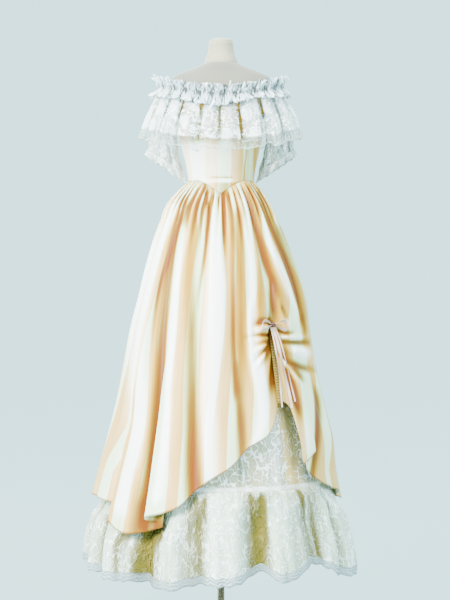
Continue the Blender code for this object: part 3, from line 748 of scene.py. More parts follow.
def overskirt(first, last, drape, front):
    """The front or back of the overskirt between two angles, with front_cloth or back_cloth."""

    def shape(u, v):
        v = smooth((0.0, FINE_FROM, 1.0), (0.0, CASING_TOP, 1.0), v)
        if front:
            away = u - (CASING_ANGLE - first) / (last - first)
            u = u - 0.5 * away * hump(away / 0.12)
        cloth = between(first, last, u)
        degrees, layer, hem = drape(cloth, v)
        angle = np.radians(degrees)
        tie = WAIST - CASING_TOP
        upper = between(waist_seam(angle) - SEAM, tie, v / CASING_TOP)
        lower = between(tie, hem, (v - CASING_TOP) / (1 - CASING_TOP))
        height = np.where(v < CASING_TOP, upper, lower)
        over = np.clip(layer / 0.004, 0.0, 1.0)
        depth, shade = skirt_folds(degrees, v)
        turn = 2 * math.pi * cloth / GATHER_PITCH
        fade = step(v / 0.02) * step(1 - v / 0.32)
        gather = np.cos(turn + 0.5 * np.sin(turn * 0.31))
        fine = np.cos(turn * 2.07 + 1.1) * step(v / 0.01) * step(1 - v / 0.15)
        away = np.abs(degrees - CASING_ANGLE)
        low = step((v - CASING_TOP + 0.06) / 0.10)
        sink = RUCHE_SINK * hump(away / RUCHE_HALF) * low
        puff = 0.004 * low * step((away - 3.0) / 6.0) * step(1 - away / 26.0)
        out = WAIST_GATHER * gather * fade + 0.0011 * fine + layer + puff - sink
        out = out - depth * (1 - 0.85 * over)
        out = out + 0.0012 * rumple(cloth * 0.22, v * 9.0, 3.0) * step(v / 0.3)
        press, dark = crease_depth(skirt_point(angle, height, 0.0, out))
        place = skirt_point(angle, height, 0.0, out - press)
        if front:
            run = STRIPE * front_stripes(degrees, height)
            # The front's painted shade and highlights; no shade is painted on cloth that lies over another
            # layer.
            mark = mark_shade(place)
            shade = np.where(mark > 0, mark * (1 - over), mark)
        else:
            run = cloth_run(place, np.clip(shade, 0.0, 1.5), OVERSKIRT_CUT[0])
        # Painted shade in the waist's gathers with painted highlights on their tops, painted shade beside
        # the casing and the creases' painted shade.
        shade = shade + (0.30 - 0.75 * gather - 0.25 * fine) * fade * fade
        shade = shade + 1.0 * hump(away / 2.4) * low + dark
        return place, np.stack([run, v * HEM_DROP], axis=-1), np.clip(shade, -1.0, 1.3)

    return shape


def casing(u, v):
    """The drawstring's casing, which lies on the overskirt's own surface."""
    cloth = between(CASING_ANGLE - CASING_HALF, CASING_ANGLE + CASING_HALF, u)
    height = between(WAIST - CASING_TOP, CASING_BOTTOM, v)
    share = CASING_TOP + (1 - CASING_TOP) * v
    degrees = front_cloth(cloth, share)[0]
    sink = skirt_folds(degrees, share)[0] + RUCHE_SINK * hump((degrees - CASING_ANGLE) / RUCHE_HALF)
    turn = v * 2 * math.pi * CASING_GATHERS
    crown = np.sin(math.pi * u)
    gather = 0.0022 * crown + 0.0009 * np.sin(turn + 0.8 * np.sin(4 * u)) * crown ** 0.5
    place = skirt_point(np.radians(degrees), height, 0.0, SATIN + LAYER + gather - sink)
    # Painted shade: deepest at the top, where the drawstring gathers the casing, and in the hollows between
    # its gathers.
    shade = between(1.2, 0.2, step(v / 0.4)) + 0.3 * np.sin(turn + 1.5 * math.pi) * crown
    width, length = CASING_CUT
    return place, np.stack([width * (u - 0.5), length * v], axis=-1), np.clip(shade, 0.0, 1.3)


# Underskirt


def tier(layer, edge):
    """The underskirt's upper tier, hanging from just below the waist over the flounce's seam."""

    def shape(u, v):
        angle = math.pi * (2 * u - 1)
        top = waist_seam(angle) - 0.004
        height = between(top, TIER_SEAM + SEAM - edge, v)
        wave = TIER_WAVE * np.cos(TIER_WAVES * angle) * step(v)
        small = 0.0016 * np.cos(41 * angle + 2 * np.sin(3 * angle)) * step((v - 0.2) / 0.5)
        lift = 0.0030 * step((TIER_SEAM + 0.012 - height) / 0.02) * (edge > 0)
        out = wave + small - layer * (1.0 + 1.5 * step(v * 8)) + lift
        place = skirt_point(angle, height, 1.0, out)
        degrees = np.degrees(angle)
        # Painted shade in the tier's waves, beside the front's right panel, on the lining and in the
        # overskirt's shadow above TIER_SHADOW; the lace is denser and whiter round 31 degrees.
        shade = (0.2 - 0.2 * np.cos(TIER_WAVES * angle)) * step(v) + 0.5 * hump((degrees - 40) / 4.0)
        shade = shade + 0.30 * (layer > 0) - 0.7 * hump((degrees - 31) / 5.0) * (layer == 0)
        shade = shade + 0.4 * hump((degrees - 45) / 7.0) + 0.5 * step((height - TIER_SHADOW) / 0.06)
        return place, np.stack([angle * TIER_CLOTH, v * (WAIST - TIER_SEAM)], axis=-1), shade

    return shape


def flounce_folds(degrees):
    """The depth of the flounce's folds, how far they raise its hem and how much shade is painted in them."""
    depth, rise, shade = np.zeros_like(degrees), np.zeros_like(degrees), np.zeros_like(degrees)
    for at, deep, half, up, tint in FLOUNCE_FOLDS:
        mark = hump(wrapped(degrees - at) / half)
        depth += deep * mark
        rise += up * hump(wrapped(degrees - at) / (half * 1.4))
        shade += tint * mark
    for k in range(REAR_FOLDS):
        mark = hump(wrapped(degrees - REAR_FIRST - REAR_PITCH * k) / REAR_FOLD_WIDTH)
        depth += REAR_FOLD_DEPTH * (0.85 + 0.3 * (k % 2)) * mark
        rise += 0.010 * mark
        shade += 0.7 * mark
    return depth, rise, shade


def overskirt_cover(degrees):
    """The height of the overskirt's hem above a place of the flounce."""
    shown = np.array(column(FRONT_HEM, 1), float)
    order = np.argsort(shown)
    front = np.interp(degrees, shown[order], np.array(column(FRONT_HEM, 4))[order])
    back = smooth(column(BACK_HEM, 0), column(BACK_HEM, 1), degrees)
    return np.where(np.abs(degrees) < SIDE_SEAM, front, back)


def flounce(layer, edge):
    """The gathered lower flounce, which swells where the overskirt doesn't cover it."""

    def shape(u, v):
        angle = math.pi * (2 * u - 1)
        degrees = np.degrees(angle)
        deep, rise, dark = flounce_folds(degrees)
        hem = smooth(column(FLOUNCE_HEM, 0), column(FLOUNCE_HEM, 1), degrees) + rise + edge
        height = between(TIER_SEAM - SEAM, hem, v)
        drop = TIER_SEAM - height
        seam = skirt_point(angle, np.full_like(angle, TIER_SEAM), 1.0, -layer)
        left, right, front, back = read(FLOUNCE, drop)
        side, depth = oval(angle, left, right, front, back)
        free = FREE_PUFF * step((overskirt_cover(degrees) - 0.015 - height) / 0.045)
        fold = deep * step(drop / 0.12)
        tucks = np.cos(76 * angle + 2.2 * np.sin(5 * angle))
        gather = 0.0016 * tucks * step(drop / 0.006) * step(1 - drop / 0.11)
        sway = np.cos(33 * angle + 1.9 * np.sin(4 * angle + 1.0))
        waves = 0.0035 * sway * step(drop / 0.16)
        waves = waves + 0.0016 * ripple(angle, height * 12, 30, 5.0) * step(drop / 0.05)
        out = free - fold + gather + waves
        place = points(angle, side + out, depth + out, np.zeros_like(angle)) + seam
        flutter = np.sin(55 * angle + 3 * np.sin(7 * angle)) * step((v - 0.75) / 0.25)
        place[..., 2] = height + 0.0025 * flutter
        # Painted shade in the folds, just under the tier's seam and in the waves, uneven in places; a
        # painted highlight on the swelling at the front; more of the fold colour towards the left.
        shade = dark * step(drop / 0.05 + 0.35) + 0.30 * step(1 - drop / 0.04)
        shade = shade + 0.12 - 0.12 * sway
        shade = shade - 0.15 * ripple(angle, height * 5, 40, 2.0)
        shade = shade - 0.6 * hump(degrees / 7.0) + 0.2 * step((-degrees - 15) / 30)
        # Under the overskirt's hem: painted light to the right, to lighten its shadow there, and a little
        # painted shade to the left.
        under_hem = hump((overskirt_cover(degrees) - 0.010 - height) / 0.030)
        shade = shade + between(-0.6, 0.1, step((-degrees - 6) / 8)) * under_hem
        cloth = np.stack([angle * FLOUNCE_CLOTH, FLOUNCE_LENGTH * v], axis=-1)
        return place, cloth, np.clip(shade, -0.8, 1.3)

    return shape


# Neckline


def ring_height(angle):
    front, side, back = RING_HEIGHTS
    across = np.sin(angle) ** 2
    return between(np.where(np.cos(angle) > 0, front, back), side, across)


def ring_sizes(angle, out):
    side, depth = oval(angle, RING_SIDE, RING_SIDE, RING_FRONT, RING_BACK)
    return side + out, depth + out


def bertha(u, v):
    """The lace flounce that falls from the neckline ring all round."""
    angle = math.pi * (2 * u - 1)
    side, front, back = read(BERTHA, v)
    side, depth = oval(angle, side, side, front, back)
    turn = BERTHA_WAVES * angle + 0.55 * np.sin(3 * angle + 0.6) + 0.35 * np.sin(7 * angle)
    pleat = 1.7 * np.sqrt(np.sin(turn / 2) ** 2 + 0.012) - 1.0
    fine = np.cos(3.1 * turn + 1.0) * step(v / 0.05) * step(1 - v / 0.7)
    wave = BERTHA_WAVE * between(0.35, 1.0, v) * step(v / 0.15) * pleat + 0.0012 * fine
    uneven = ripple(angle, v * 1.5, 16, 8.0)
    wave = wave + 0.0025 * uneven * v + 0.0012 * ripple(angle, v * 4, 70, 3.0) * v
    ring_side, ring_depth = ring_sizes(angle, -LACE - LAYER + wave)
    droop = (0.004 * ripple(angle, 0.0, 18, 1.0) + 0.0015 * ripple(angle, 0.0, 90, 4.0)) * v ** 3
    height = ring_height(angle) - 0.002 - BERTHA_DROP * v + droop - 0.013 * v * v * step(np.cos(angle))
    place = points(angle, ring_side + side, ring_depth + depth, height)
    # Painted shade in the pleats' hollows and along the top under the ruffle, painted highlights on the
    # pleats' ridges, uneven in places.
    valley = np.clip(-pleat, 0.0, 1.0) ** 0.8
    shade = valley * (0.95 + 0.40 * step(1 - v / 0.9)) + 0.35 * step(1 - v / 0.2)
    shade = shade - 0.6 * np.clip(pleat + 0.2, 0, 1) + 0.25 * ripple(angle, v * 2, 50, 6.0)
    return place, np.stack([angle * BERTHA_CLOTH, BERTHA_DROP * v], axis=-1), np.clip(shade, -1.0, 1.3)


def neck_ruffle(u, v):
    """The ruffle gathered on the neckline's elastic, standing up and falling down from it."""
    angle = math.pi * (2 * u - 1)
    up, flare, share = read(RUFFLE, v)
    degrees = np.degrees(angle)
    low = step((v - 0.55) / 0.45)
    turn = RUFFLE_WAVES * angle + 0.9 * np.sin(4 * angle + 0.4) + 0.6 * np.sin(9 * angle)
    crimp = 0.7 * np.cos(turn + 2.5 * v) + 0.7 * ripple(angle, v * 2.5, 60, 2.0)
    crimp = crimp + 0.4 * ripple(angle, v * 5, 120, 7.0)
    out = flare + RUFFLE_WAVE * share * crimp + 0.0012 * ripple(angle, v, 150, 1.0)
    side, depth = ring_sizes(angle, out)
    jag = 0.0040 * ripple(angle, 0.0, 66, 5.0) * share
    swoop = 0.010 * (hump((degrees - 31) / 11) - hump((degrees + 5) / 11)) * low
    place = points(angle, side, depth, ring_height(angle) + up + jag + swoop)
    slide = 0.0040 * share * ripple(angle, v * 2, 50, 9.0)
    place[..., 0] += slide * np.cos(angle)
    place[..., 1] += slide * np.sin(angle)
    # Painted highlights on the crimps' tops, painted shade in their hollows and along the elastic, uneven in
    # places.
    shade = 0.35 - 0.6 * crimp + 0.5 * hump((v - 0.5) / 0.14) + 0.3 * ripple(angle, v * 7, 130, 3.0)
    return place, np.stack([angle * RUFFLE_CLOTH, RUFFLE_LENGTH * v], axis=-1), np.clip(shade, -0.6, 1.3)


def bodice_top(degrees):
    """The bodice's upper edge, with a dip for each armhole."""
    side = step((np.abs(degrees) - 44) / 20) * step((142 - np.abs(degrees)) / 20)
    ring = ring_height(np.radians(degrees)) - BODICE_DROP
    return between(ring, ARMHOLE, side)


def bodice(first, last, shift, out=0.0):
    """A bodice panel between two angles."""

    def shape(u, v):
        degrees = between(first, last, u)
        angle = np.radians(degrees)
        top = bodice_top(180 - np.abs(180 - np.abs(degrees)))
        height = between(top, waist_seam(angle), v)
        soft = 0.0005 * rumple(degrees * 0.10, height * 60, 2.0)
        near = step((25 - np.abs(wrapped(degrees) + 1)) / 9)
        line = hump((height - WAIST_LINE) / 0.0030) * near
        band = hump((height - WAIST_BAND) / 0.0040) * near
        side, depth = bodice_sizes(angle, height, out + soft - 0.0016 * line + 0.0012 * band)
        ring_side, ring_depth = ring_sizes(angle, out - BODICE_IN)
        meet = step((height - CHEST) / (ring_height(angle) - BODICE_DROP - CHEST))
        place = points(angle, between(side, ring_side, meet), between(depth, ring_depth, meet), height)
        ground = np.hypot(np.diff(place[..., 0], axis=1), np.diff(place[..., 1], axis=1))
        run = np.concatenate([np.zeros((len(place), 1)), np.cumsum(ground, axis=1)], axis=1)
        lead = np.radians(first) * 0.5 * (place[:, :1, 0] / np.sin(angle[:, :1]) + depth[:, :1])
        run = run + lead + BODICE_STRIPE_EDGE + shift
        # Painted highlight over the left and middle, where the key lamp falls, taken off under the bertha;
        # painted shade under the bertha, at the point and in the crease's line; a painted highlight on the
        # band below it; a little darker along the panels' edges.
        edge = hump(u * 40) + hump((u - 1.0) * 40)
        painted_highlight = 0.25 + 0.75 * step((4 - wrapped(degrees)) / 26) - 0.45 * step((wrapped(degrees) - 16) / 30)
        covered = step((height - 1.395) / 0.03)
        tip = step((1.295 - height) / 0.004)
        shade = 1.0 * line + 0.2 * edge - painted_highlight * (1 - covered) - 0.9 * band + 0.6 * covered + 0.6 * tip
        return place, np.stack([run, WAIST - height + 0.3], axis=-1), shade

    return shape


def sleeve_place(turn, v, mirror, out=0.0):
    """A place on a sleeve's tube: turn goes round it, v down it."""
    rows = [(k / (len(SLEEVE) - 1), *row) for k, row in enumerate(SLEEVE)]
    x, y, z, half_x, half_z, half_y = read(rows, v)
    wave = 1 + (SLEEVE_WAVE * v * np.cos(SLEEVE_WAVES * turn) + out) / half_y
    across = mirror * (x + half_x * wave * np.cos(turn))
    along = y - half_y * wave * np.sin(turn) * mirror
    return np.stack([across, along, z + half_z * wave * np.cos(turn)], axis=-1)


def sleeve(mirror):
    """A lace sleeve that hangs from the neckline off the shoulder."""

    def shape(u, v):
        turn = 2 * math.pi * u
        soft = 0.0030 * ripple(turn, v * 3, 7, 4.0 + mirror) + 0.0015 * ripple(turn, v * 6, 19, 2.0)
        gather = 0.0012 * np.cos(31 * turn) * step(1 - v / 0.5)
        place = sleeve_place(turn, v, mirror, soft * step(v / 0.2) + gather)
        # Painted shade in the ripples, more on the right sleeve, which lies away from the key lamp.
        shade = 0.2 + 0.3 * mirror + 0.3 * ripple(turn, v * 3, 11, 4.0 + mirror)
        shade = shade + 0.3 * ripple(turn, v * 9, 31, 1.0)
        return place, np.stack([turn * SLEEVE_CLOTH, SLEEVE_LENGTH * v], axis=-1), np.clip(shade, -0.8, 1.0)

    return shape


def sleeve_frill(mirror):
    """The frill at a sleeve's lower edge."""

    def shape(u, v):
        turn = 2 * math.pi * u
        wave = FRILL_WAVE * v * np.cos(FRILL_WAVES * turn) + 0.0015 * v * np.cos(27 * turn + 1)
        place = sleeve_place(turn, np.ones_like(v), mirror, wave + 0.004 * v)
        place[..., 2] -= SEAM + 0.0006 + FRILL * v + 0.002 * v * np.sin(17 * turn)
        # Painted shade, more on the right frill, with painted highlights on the waves' tops.
        shade = 0.15 + 0.3 * mirror - 0.35 * np.cos(FRILL_WAVES * turn) * v
        cloth = np.stack([turn * FRILL_CLOTH, FRILL_START + FRILL * v], axis=-1)
        return place, cloth, np.clip(shade, -0.8, 1.0)

    return shape


# Ribbons


def strip(path, width, clear, curl):
    """A narrow ribbon down a path, a little cupped and twisted."""

    def shape(u, v):
        rows = [(k / (len(path) - 1), *row) for k, row in enumerate(path)]
        degrees, height, out = read(rows, v)
        angle = np.radians(degrees)
        side = u - 0.5
        twist = curl * np.sin(2 * math.pi * v * 1.4) * step(v / 0.2)
        cup = curl * 0.10 * width * (1 - 4 * side * side) / 0.25
        place = skirt_point(angle, height, clear, out + 0.6 * twist * width * side + 0.0006 * cup)
        along = np.stack([np.cos(angle), np.sin(angle), 0 * angle], axis=-1)
        place = place + along * (width * side * np.sqrt(1 - 0.36 * twist * twist))[..., None]
        place[..., 2] += 0.25 * width * side * step((v - 0.85) / 0.15)
        # Painted shade where the ribbon twists and along its edges.
        shade = 0.4 * np.abs(twist) + 0.8 * step((np.abs(side) - 0.3) / 0.2)
        return place, np.stack([width * u, v * STRIP_CLOTH], axis=-1), shade

    return shape


def ribbon_path(path, clear, count=25):
    """The middle line of a ribbon, for its length."""
    v = np.linspace(0.0, 1.0, count)
    rows = [(k / (len(path) - 1), *row) for k, row in enumerate(path)]
    degrees, height, out = read(rows, v)
    return skirt_point(np.radians(degrees), height, clear, out)


def knot_place():
    """The knot's centre, and the directions across and out of the skirt there."""
    angle = math.radians(CASING_ANGLE)
    height = WAIST - CASING_TOP - KNOT_DROP
    middle = skirt_point(np.array([angle]), np.array([height]), 0.0, KNOT_OUT)[0]
    across = np.array([math.cos(angle), math.sin(angle), 0.0])
    away = np.array([math.sin(angle), -math.cos(angle), 0.0])
    return middle, across, away


def bow_loop(mirror):
    """One loop of the drawstring's bow."""

    def shape(u, v):
        middle, across, away = knot_place()
        start = KNOT_SIZES[0] + 0.0003
        reach = mirror * (start + LOOP_LENGTH * np.sin(math.pi * v))
        rise = LOOP_RISE * np.sin(2 * math.pi * v) + 0.0016 * np.cos(math.pi * v)
        droop = -0.003 * np.sin(math.pi * v) ** 2
        out = 0.003 + LOOP_SWELL * np.sin(math.pi * v) + 0.5 * LOOP_WIDTH * (u - 0.5)
        place = middle + reach[..., None] * across + out[..., None] * away
        place[..., 2] += rise + droop + 0.8 * LOOP_WIDTH * (u - 0.5) * np.sin(math.pi * v)
        # Painted shade towards the loop's ends at the knot.
        return place, np.stack([LOOP_WIDTH * u, LOOP_CLOTH * v], axis=-1), 0.35 * np.abs(np.cos(math.pi * v))

    return shape


# Meshes


def hang(name, shape, columns, rows, wall, finish, closed=False):
    """A piece of cloth: a grid laid onto a shape, welded into a tube where it is closed."""
    u, v = np.meshgrid(np.linspace(0.0, 1.0, columns + 1), np.linspace(0.0, 1.0, rows + 1))
    place, cloth, shade = shape(u, v)
    grid = bmesh.new()
    bmesh.ops.create_grid(grid, x_segments=columns, y_segments=rows, size=0.5)
    mesh = bpy.data.meshes.new(name)
    grid.to_mesh(mesh)
    flat = np.empty(len(mesh.vertices) * 3, np.float32)
    mesh.vertices.foreach_get("co", flat)
    flat = flat.reshape(-1, 3)
    across = np.rint((flat[:, 0] + 0.5) * columns).astype(int)
    down = np.rint((0.5 - flat[:, 1]) * rows).astype(int)
    mesh.vertices.foreach_set("co", place[down, across].astype(np.float32).ravel())
    corner = np.empty(len(mesh.loops), np.int32)
    mesh.loops.foreach_get("vertex_index", corner)
    threads = mesh.uv_layers.new(name="cloth")
    threads.data.foreach_set("uv", cloth[down, across][corner].astype(np.float32).ravel())
    # The shade attribute carries each piece's painted shade and highlights to its finish.
    mark = mesh.attributes.new("shade", "FLOAT", "POINT")
    mark.data.foreach_set("value", (shade + 0 * u)[down, across].astype(np.float32))
    if closed:
        grid.clear()
        grid.from_mesh(mesh)
        bmesh.ops.remove_doubles(grid, verts=grid.verts, dist=1e-5)
        grid.to_mesh(mesh)
    grid.free()
    made = add_piece(name, mesh, finish)
    if wall:
        shell = made.modifiers.new("wall", "SOLIDIFY")
        shell.thickness = wall
        shell.offset = 0.0
    return made


def add_piece(name, mesh, finish):
    """A finished piece, which rides with the stand and stands for the CAD node of its name."""
    made = bpy.data.objects.new(name + "_shown", mesh)
    bpy.context.scene.collection.objects.link(made)
    mesh.materials.append(finish)
    mesh.shade_smooth()
    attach(made, "root")
    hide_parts(name)
    return made


def spun(profile, steps):
    """A bmesh of a profile of radius and height spun about the pole."""
    solid = bmesh.new()
    verts = [solid.verts.new((radius, 0.0, height)) for radius, height in profile]
    edges = [solid.edges.new(pair) for pair in zip(verts, verts[1:])]
    bmesh.ops.spin(
        solid,
        geom=verts + edges,
        cent=(0, 0, 0),
        axis=(0, 0, 1),
        angle=2 * math.pi,
        steps=steps,
        use_merge=True,
    )
    bmesh.ops.remove_doubles(solid, verts=solid.verts, dist=1e-6)
    return solid


def turned(name, profile, steps, finish):
    """A turned piece of the form or the stand."""
    solid = spun(profile, steps)
    bmesh.ops.recalc_face_normals(solid, faces=solid.faces)
    mesh = bpy.data.meshes.new(name)
    solid.to_mesh(mesh)
    solid.free()
    return add_piece(name, mesh, finish)


# Finishes


class Value:
    """A socket of a finish, with arithmetic that adds Math nodes."""

    def __init__(self, finish, socket):
        self.finish = finish
        self.socket = socket

    def math(self, operation, *values):
        return self.finish.add("ShaderNodeMath", {"operation": operation}, dict(enumerate(values)))

    def __add__(self, other):
        return self.math("ADD", self, other)

    __radd__ = __add__

    def __sub__(self, other):
        return self.math("SUBTRACT", self, other)

    def __rsub__(self, other):
        return self.math("SUBTRACT", other, self)

    def __mul__(self, other):
        return self.math("MULTIPLY", self, other)

    __rmul__ = __mul__

    def __abs__(self):
        return self.math("ABSOLUTE", self)

    def sine(self):
        return self.math("SINE", self)

    def most(self, other):
        return self.math("MAXIMUM", self, other)

    def clamp(self):
        return self.math("MINIMUM", self.most(0.0), 1.0)

    def ramp(self, low, high):
        """0 below low, 1 above high, soft between them; falls where low is above high."""
        settings = {"interpolation_type": "SMOOTHSTEP"}
        if low < high:
            return self.finish.add("ShaderNodeMapRange", settings, {0: self, 1: low, 2: high})
        return 1 - self.finish.add("ShaderNodeMapRange", settings, {0: self, 1: high, 2: low})


class Finish:
    """A material whose nodes are added one at a time."""

    def __init__(self, name):
        self.material = bpy.data.materials.new(name)
        self.material.use_nodes = True
        self.tree = self.material.node_tree
        self.shader = self.tree.nodes["Principled BSDF"]

    def add(self, kind, settings, sockets, output=0):
        node = self.tree.nodes.new(kind)
        for key, value in settings.items():
            setattr(node, key, value)
        for key, value in sockets.items():
            self.feed(node.inputs[key], value)
        return Value(self, node.outputs[output])

    def feed(self, socket, value):
        if isinstance(value, Value):
            self.tree.links.new(value.socket, socket)
        elif socket.type == "RGBA" and len(value) == 3:
            socket.default_value = (*value, 1.0)
        else:
            socket.default_value = value

    def mix(self, share, first, second):
        return self.add("ShaderNodeMix", {"data_type": "RGBA"}, {0: share, 6: first, 7: second}, 2)

    def cloth(self):
        """The place on the cloth, in metres, as a vector."""
        return self.add("ShaderNodeUVMap", {"uv_map": "cloth"}, {})

    def stretched(self, vector, across, down, up=1.0):
        scale = (across, down, up)
        return self.add("ShaderNodeVectorMath", {"operation": "MULTIPLY"}, {0: vector, 1: scale})

    def shade(self):
        return self.add("ShaderNodeAttribute", {"attribute_name": "shade"}, {}, "Fac")

    def part(self, vector, k):
        """How far across (0) or down (1) the cloth a place is."""
        return self.add("ShaderNodeSeparateXYZ", {}, {0: vector}, k)

    def noise(self, vector, scale, detail=2.0):
        return self.add("ShaderNodeTexNoise", {}, {"Vector": vector, "Scale": scale, "Detail": detail})

    def cells(self, vector, scale):
        return self.add("ShaderNodeTexVoronoi", {}, {"Vector": vector, "Scale": scale})

    def bump(self, height, distance):
        return self.add("ShaderNodeBump", {}, {"Height": height, "Distance": distance, "Strength": 1.0})

    def finish(self, **sockets):
        for key, value in sockets.items():
            self.feed(self.shader.inputs[key.replace("_", " ")], value)
        return self.material


def satin_finish():
    """Peach and ivory stripes that run down the cloth, with painted shade in its folds and painted
    highlights on its ridges.
    """
    made = Finish("striped_satin")
    cloth = made.cloth()
    turn = made.part(cloth, 0) * (math.pi / STRIPE)
    ivory = (turn.sine() * 14 + 0.5).clamp()
    slub = made.noise(made.stretched(cloth, 900, 30), 1.0)
    # Noise streaks along the cloth make the painted shade uneven.
    streaks = made.noise(made.stretched(cloth, 40, 2.5), 1.0) - 0.5
    threads = made.noise(made.stretched(cloth, 190, 6), 1.0, 1.0) - 0.5
    shade = made.shade() * 1.2 + streaks * 0.6 + threads * 0.3
    # Lit and shaded copies of the stripes: a painted highlight, the lit colour and three steps of painted
    # shade, picked by the shade attribute.
    painted_highlight = made.mix(ivory, (0.90, 0.76, 0.56), (0.93, 0.96, 0.94))
    lit = made.mix(ivory, (0.56, 0.34, 0.10), (0.58, 0.72, 0.47))
    half_shade = made.mix(ivory, (0.35, 0.190, 0.012), (0.33, 0.295, 0.080))
    deep = made.mix(ivory, (0.20, 0.092, 0.002), (0.18, 0.094, 0.006))
    darkest_shade = made.mix(ivory, (0.150, 0.040, 0.0015), (0.155, 0.050, 0.0020))
    colour = made.mix(shade.ramp(-0.95, 0.1), painted_highlight, lit)
    colour = made.mix(shade.ramp(0.0, 0.55), colour, half_shade)
    colour = made.mix(shade.ramp(0.45, 0.95), colour, deep)
    colour = made.mix(shade.ramp(0.9, 1.3), colour, darkest_shade)
    # Painted shade: a dark line along the hem.
    rim = made.part(cloth, 1).ramp(HEM_DROP - 0.007, HEM_DROP - 0.003)
    colour = made.mix(rim * 0.6, colour, (0.16, 0.06, 0.01))
    return made.finish(
        Base_Color=colour,
        Roughness=0.36 + slub * 0.08,
        Normal=made.bump(slub, 0.00004),
        Specular_IOR_Level=0.12,
        # A glossier coat where highlights are painted.
        Coat_Weight=shade.ramp(0.3, -0.6) * 0.3,
        Coat_Roughness=0.3,
    )


def vines(made, cloth, scale, flow):
    """Curling lace cords: where a soft noise crosses its middle."""
    field = made.noise(made.stretched(cloth, scale, scale * flow), 1.0, 1.0)
    other = made.noise(made.stretched(cloth, scale * 1.7, scale * 1.7 * flow), 1.0, 0.0)
    first = abs(field - 0.5).ramp(0.040, 0.012)
    second = abs(other - 0.5).ramp(0.035, 0.010)
    return first.most(second * 0.8)


def blossoms(made, cloth, scale):
    """Lace flowers with open centres."""
    near = made.cells(made.stretched(cloth, scale, scale), 1.0)
    ring = near.ramp(0.46, 0.40)
    petal = abs(made.noise(made.stretched(cloth, scale * 5, scale * 5), 1.0, 0.0) - 0.5).ramp(0.01, 0.06)
    return ring * (0.45 + petal * 0.55)


def lace_finish(name, tint, valley, ground, gap, pattern, flow, weave, petals, band=None):
    """Sheer lace: net, cords and flowers, as how much of the cloth they cover.

    tint and valley are its colours where it is lit and in its folds, ground is what its net covers,
    gap what it loses in its folds. pattern and flow are how close its cords lie and how they are
    drawn out, weave and petals what its cords and flowers cover. A band at its lower edge has where
    it starts and is full, where the cloth ends, what it covers and its colour."""
    made = Finish(name)
    cloth = made.cloth()
    shade = made.shade()
    cords = vines(made, cloth, pattern, flow)
    flowers = blossoms(made, cloth, pattern * 0.62) * petals
    net = made.cells(made.stretched(cloth, 520, 520), 1.0).ramp(0.15, 0.6)
    cover = (cords * weave).most(flowers * weave * 0.9)
    # More cover where highlights are painted and less where shade is painted, so what lies behind shows
    # there.
    cover = cover + shade.ramp(0.0, -1.0) * 0.15 - shade.ramp(0.6, 1.2) * gap
    # The highlight colour where a highlight is painted, the lit tint, and the valley colour where shade is
    # painted; the threads fade in painted shade.
    colour = made.mix(shade.ramp(-0.6, 0.2), LACE_HIGHLIGHT, tint)
    colour = made.mix(shade.ramp(0.2, 1.1), colour, valley)
    colour = made.mix(cords * 0.5 * shade.ramp(1.2, 0.2), colour, THREADS)
    if band is not None:
        low, high, end, veil, edging = band
        down = made.part(cloth, 1)
        sheer = down.ramp(low, high)
        wander = made.noise(made.stretched(cloth, 90, 30), 1.0) * 14
        lines = (down * (2 * math.pi / EDGING_LINE) + wander).sine().ramp(0.2, 0.9) * sheer
        rim = down.ramp(end - 0.0045, end - 0.0025)
        cover = cover * (1 - sheer * 0.8) + lines * veil * 0.5 + rim * 0.35
        ground = ground + sheer * (veil - ground)
        colour = made.mix(sheer * (1 - lines * 0.6) * 0.85, colour, edging)
    cover = (cover + ground + net * 0.06).clamp()
    relief = made.bump(cords + flowers * 0.8, 0.0009)
    return made.finish(Base_Color=colour, Alpha=cover, Roughness=0.7, Normal=relief, Specular_IOR_Level=0.2)


def lining_finish(name, lit, low, deep):
    """Matte cream cloth, with painted shade in its folds."""
    made = Finish(name)
    cloth = made.cloth()
    grain = made.noise(made.stretched(cloth, 700, 700), 1.0)
    shade = made.shade()
    colour = made.mix(shade.ramp(0.0, 0.7), lit, low)
    colour = made.mix(shade.ramp(0.5, 1.1), colour, deep)
    relief = made.bump(grain, 0.00006)
    return made.finish(Base_Color=colour, Roughness=0.75, Normal=relief, Specular_IOR_Level=0.1)


def ribbon_finish():
    """Peach satin ribbon with fine ribs across it, darker where shade is painted on it."""
    made = Finish("peach_ribbon")
    cloth = made.cloth()
    ribs = made.noise(made.stretched(cloth, 60, 1400), 1.0)
    shade = made.shade()
    colour = made.mix(shade.ramp(0.1, 0.9), (0.58, 0.42, 0.32), (0.17, 0.055, 0.018))
    return made.finish(Base_Color=colour, Roughness=0.3 + ribs * 0.1, Normal=made.bump(ribs, 0.00005))


def casing_finish():
    """The satin of the casing, with painted shade that is darkest where the drawstring gathers it most."""
    made = Finish("drawstring_satin")
    cloth = made.cloth()
    slub = made.noise(made.stretched(cloth, 900, 60), 1.0)
    shade = made.shade()
    colour = made.mix(shade.ramp(0.1, 0.6), (0.26, 0.17, 0.035), (0.14, 0.050, 0.006))
    colour = made.mix(shade.ramp(0.5, 1.2), colour, (0.060, 0.013, 0.003))
    relief = made.bump(slub, 0.00005)
    rough = 0.36 + slub * 0.08
    return made.finish(Base_Color=colour, Roughness=rough, Normal=relief, Specular_IOR_Level=0.12)


def knot_finish():
    """The drawstring's dark red knot."""
    made = Finish("knot_satin")
    place = made.add("ShaderNodeTexCoord", {}, {}, "Object")
    grain = made.noise(place, 500.0)
    colour = made.mix(grain, (0.030, 0.003, 0.003), (0.080, 0.016, 0.010))
    return made.finish(Base_Color=colour, Roughness=0.36 + grain * 0.1, Normal=made.bump(grain, 0.0003))


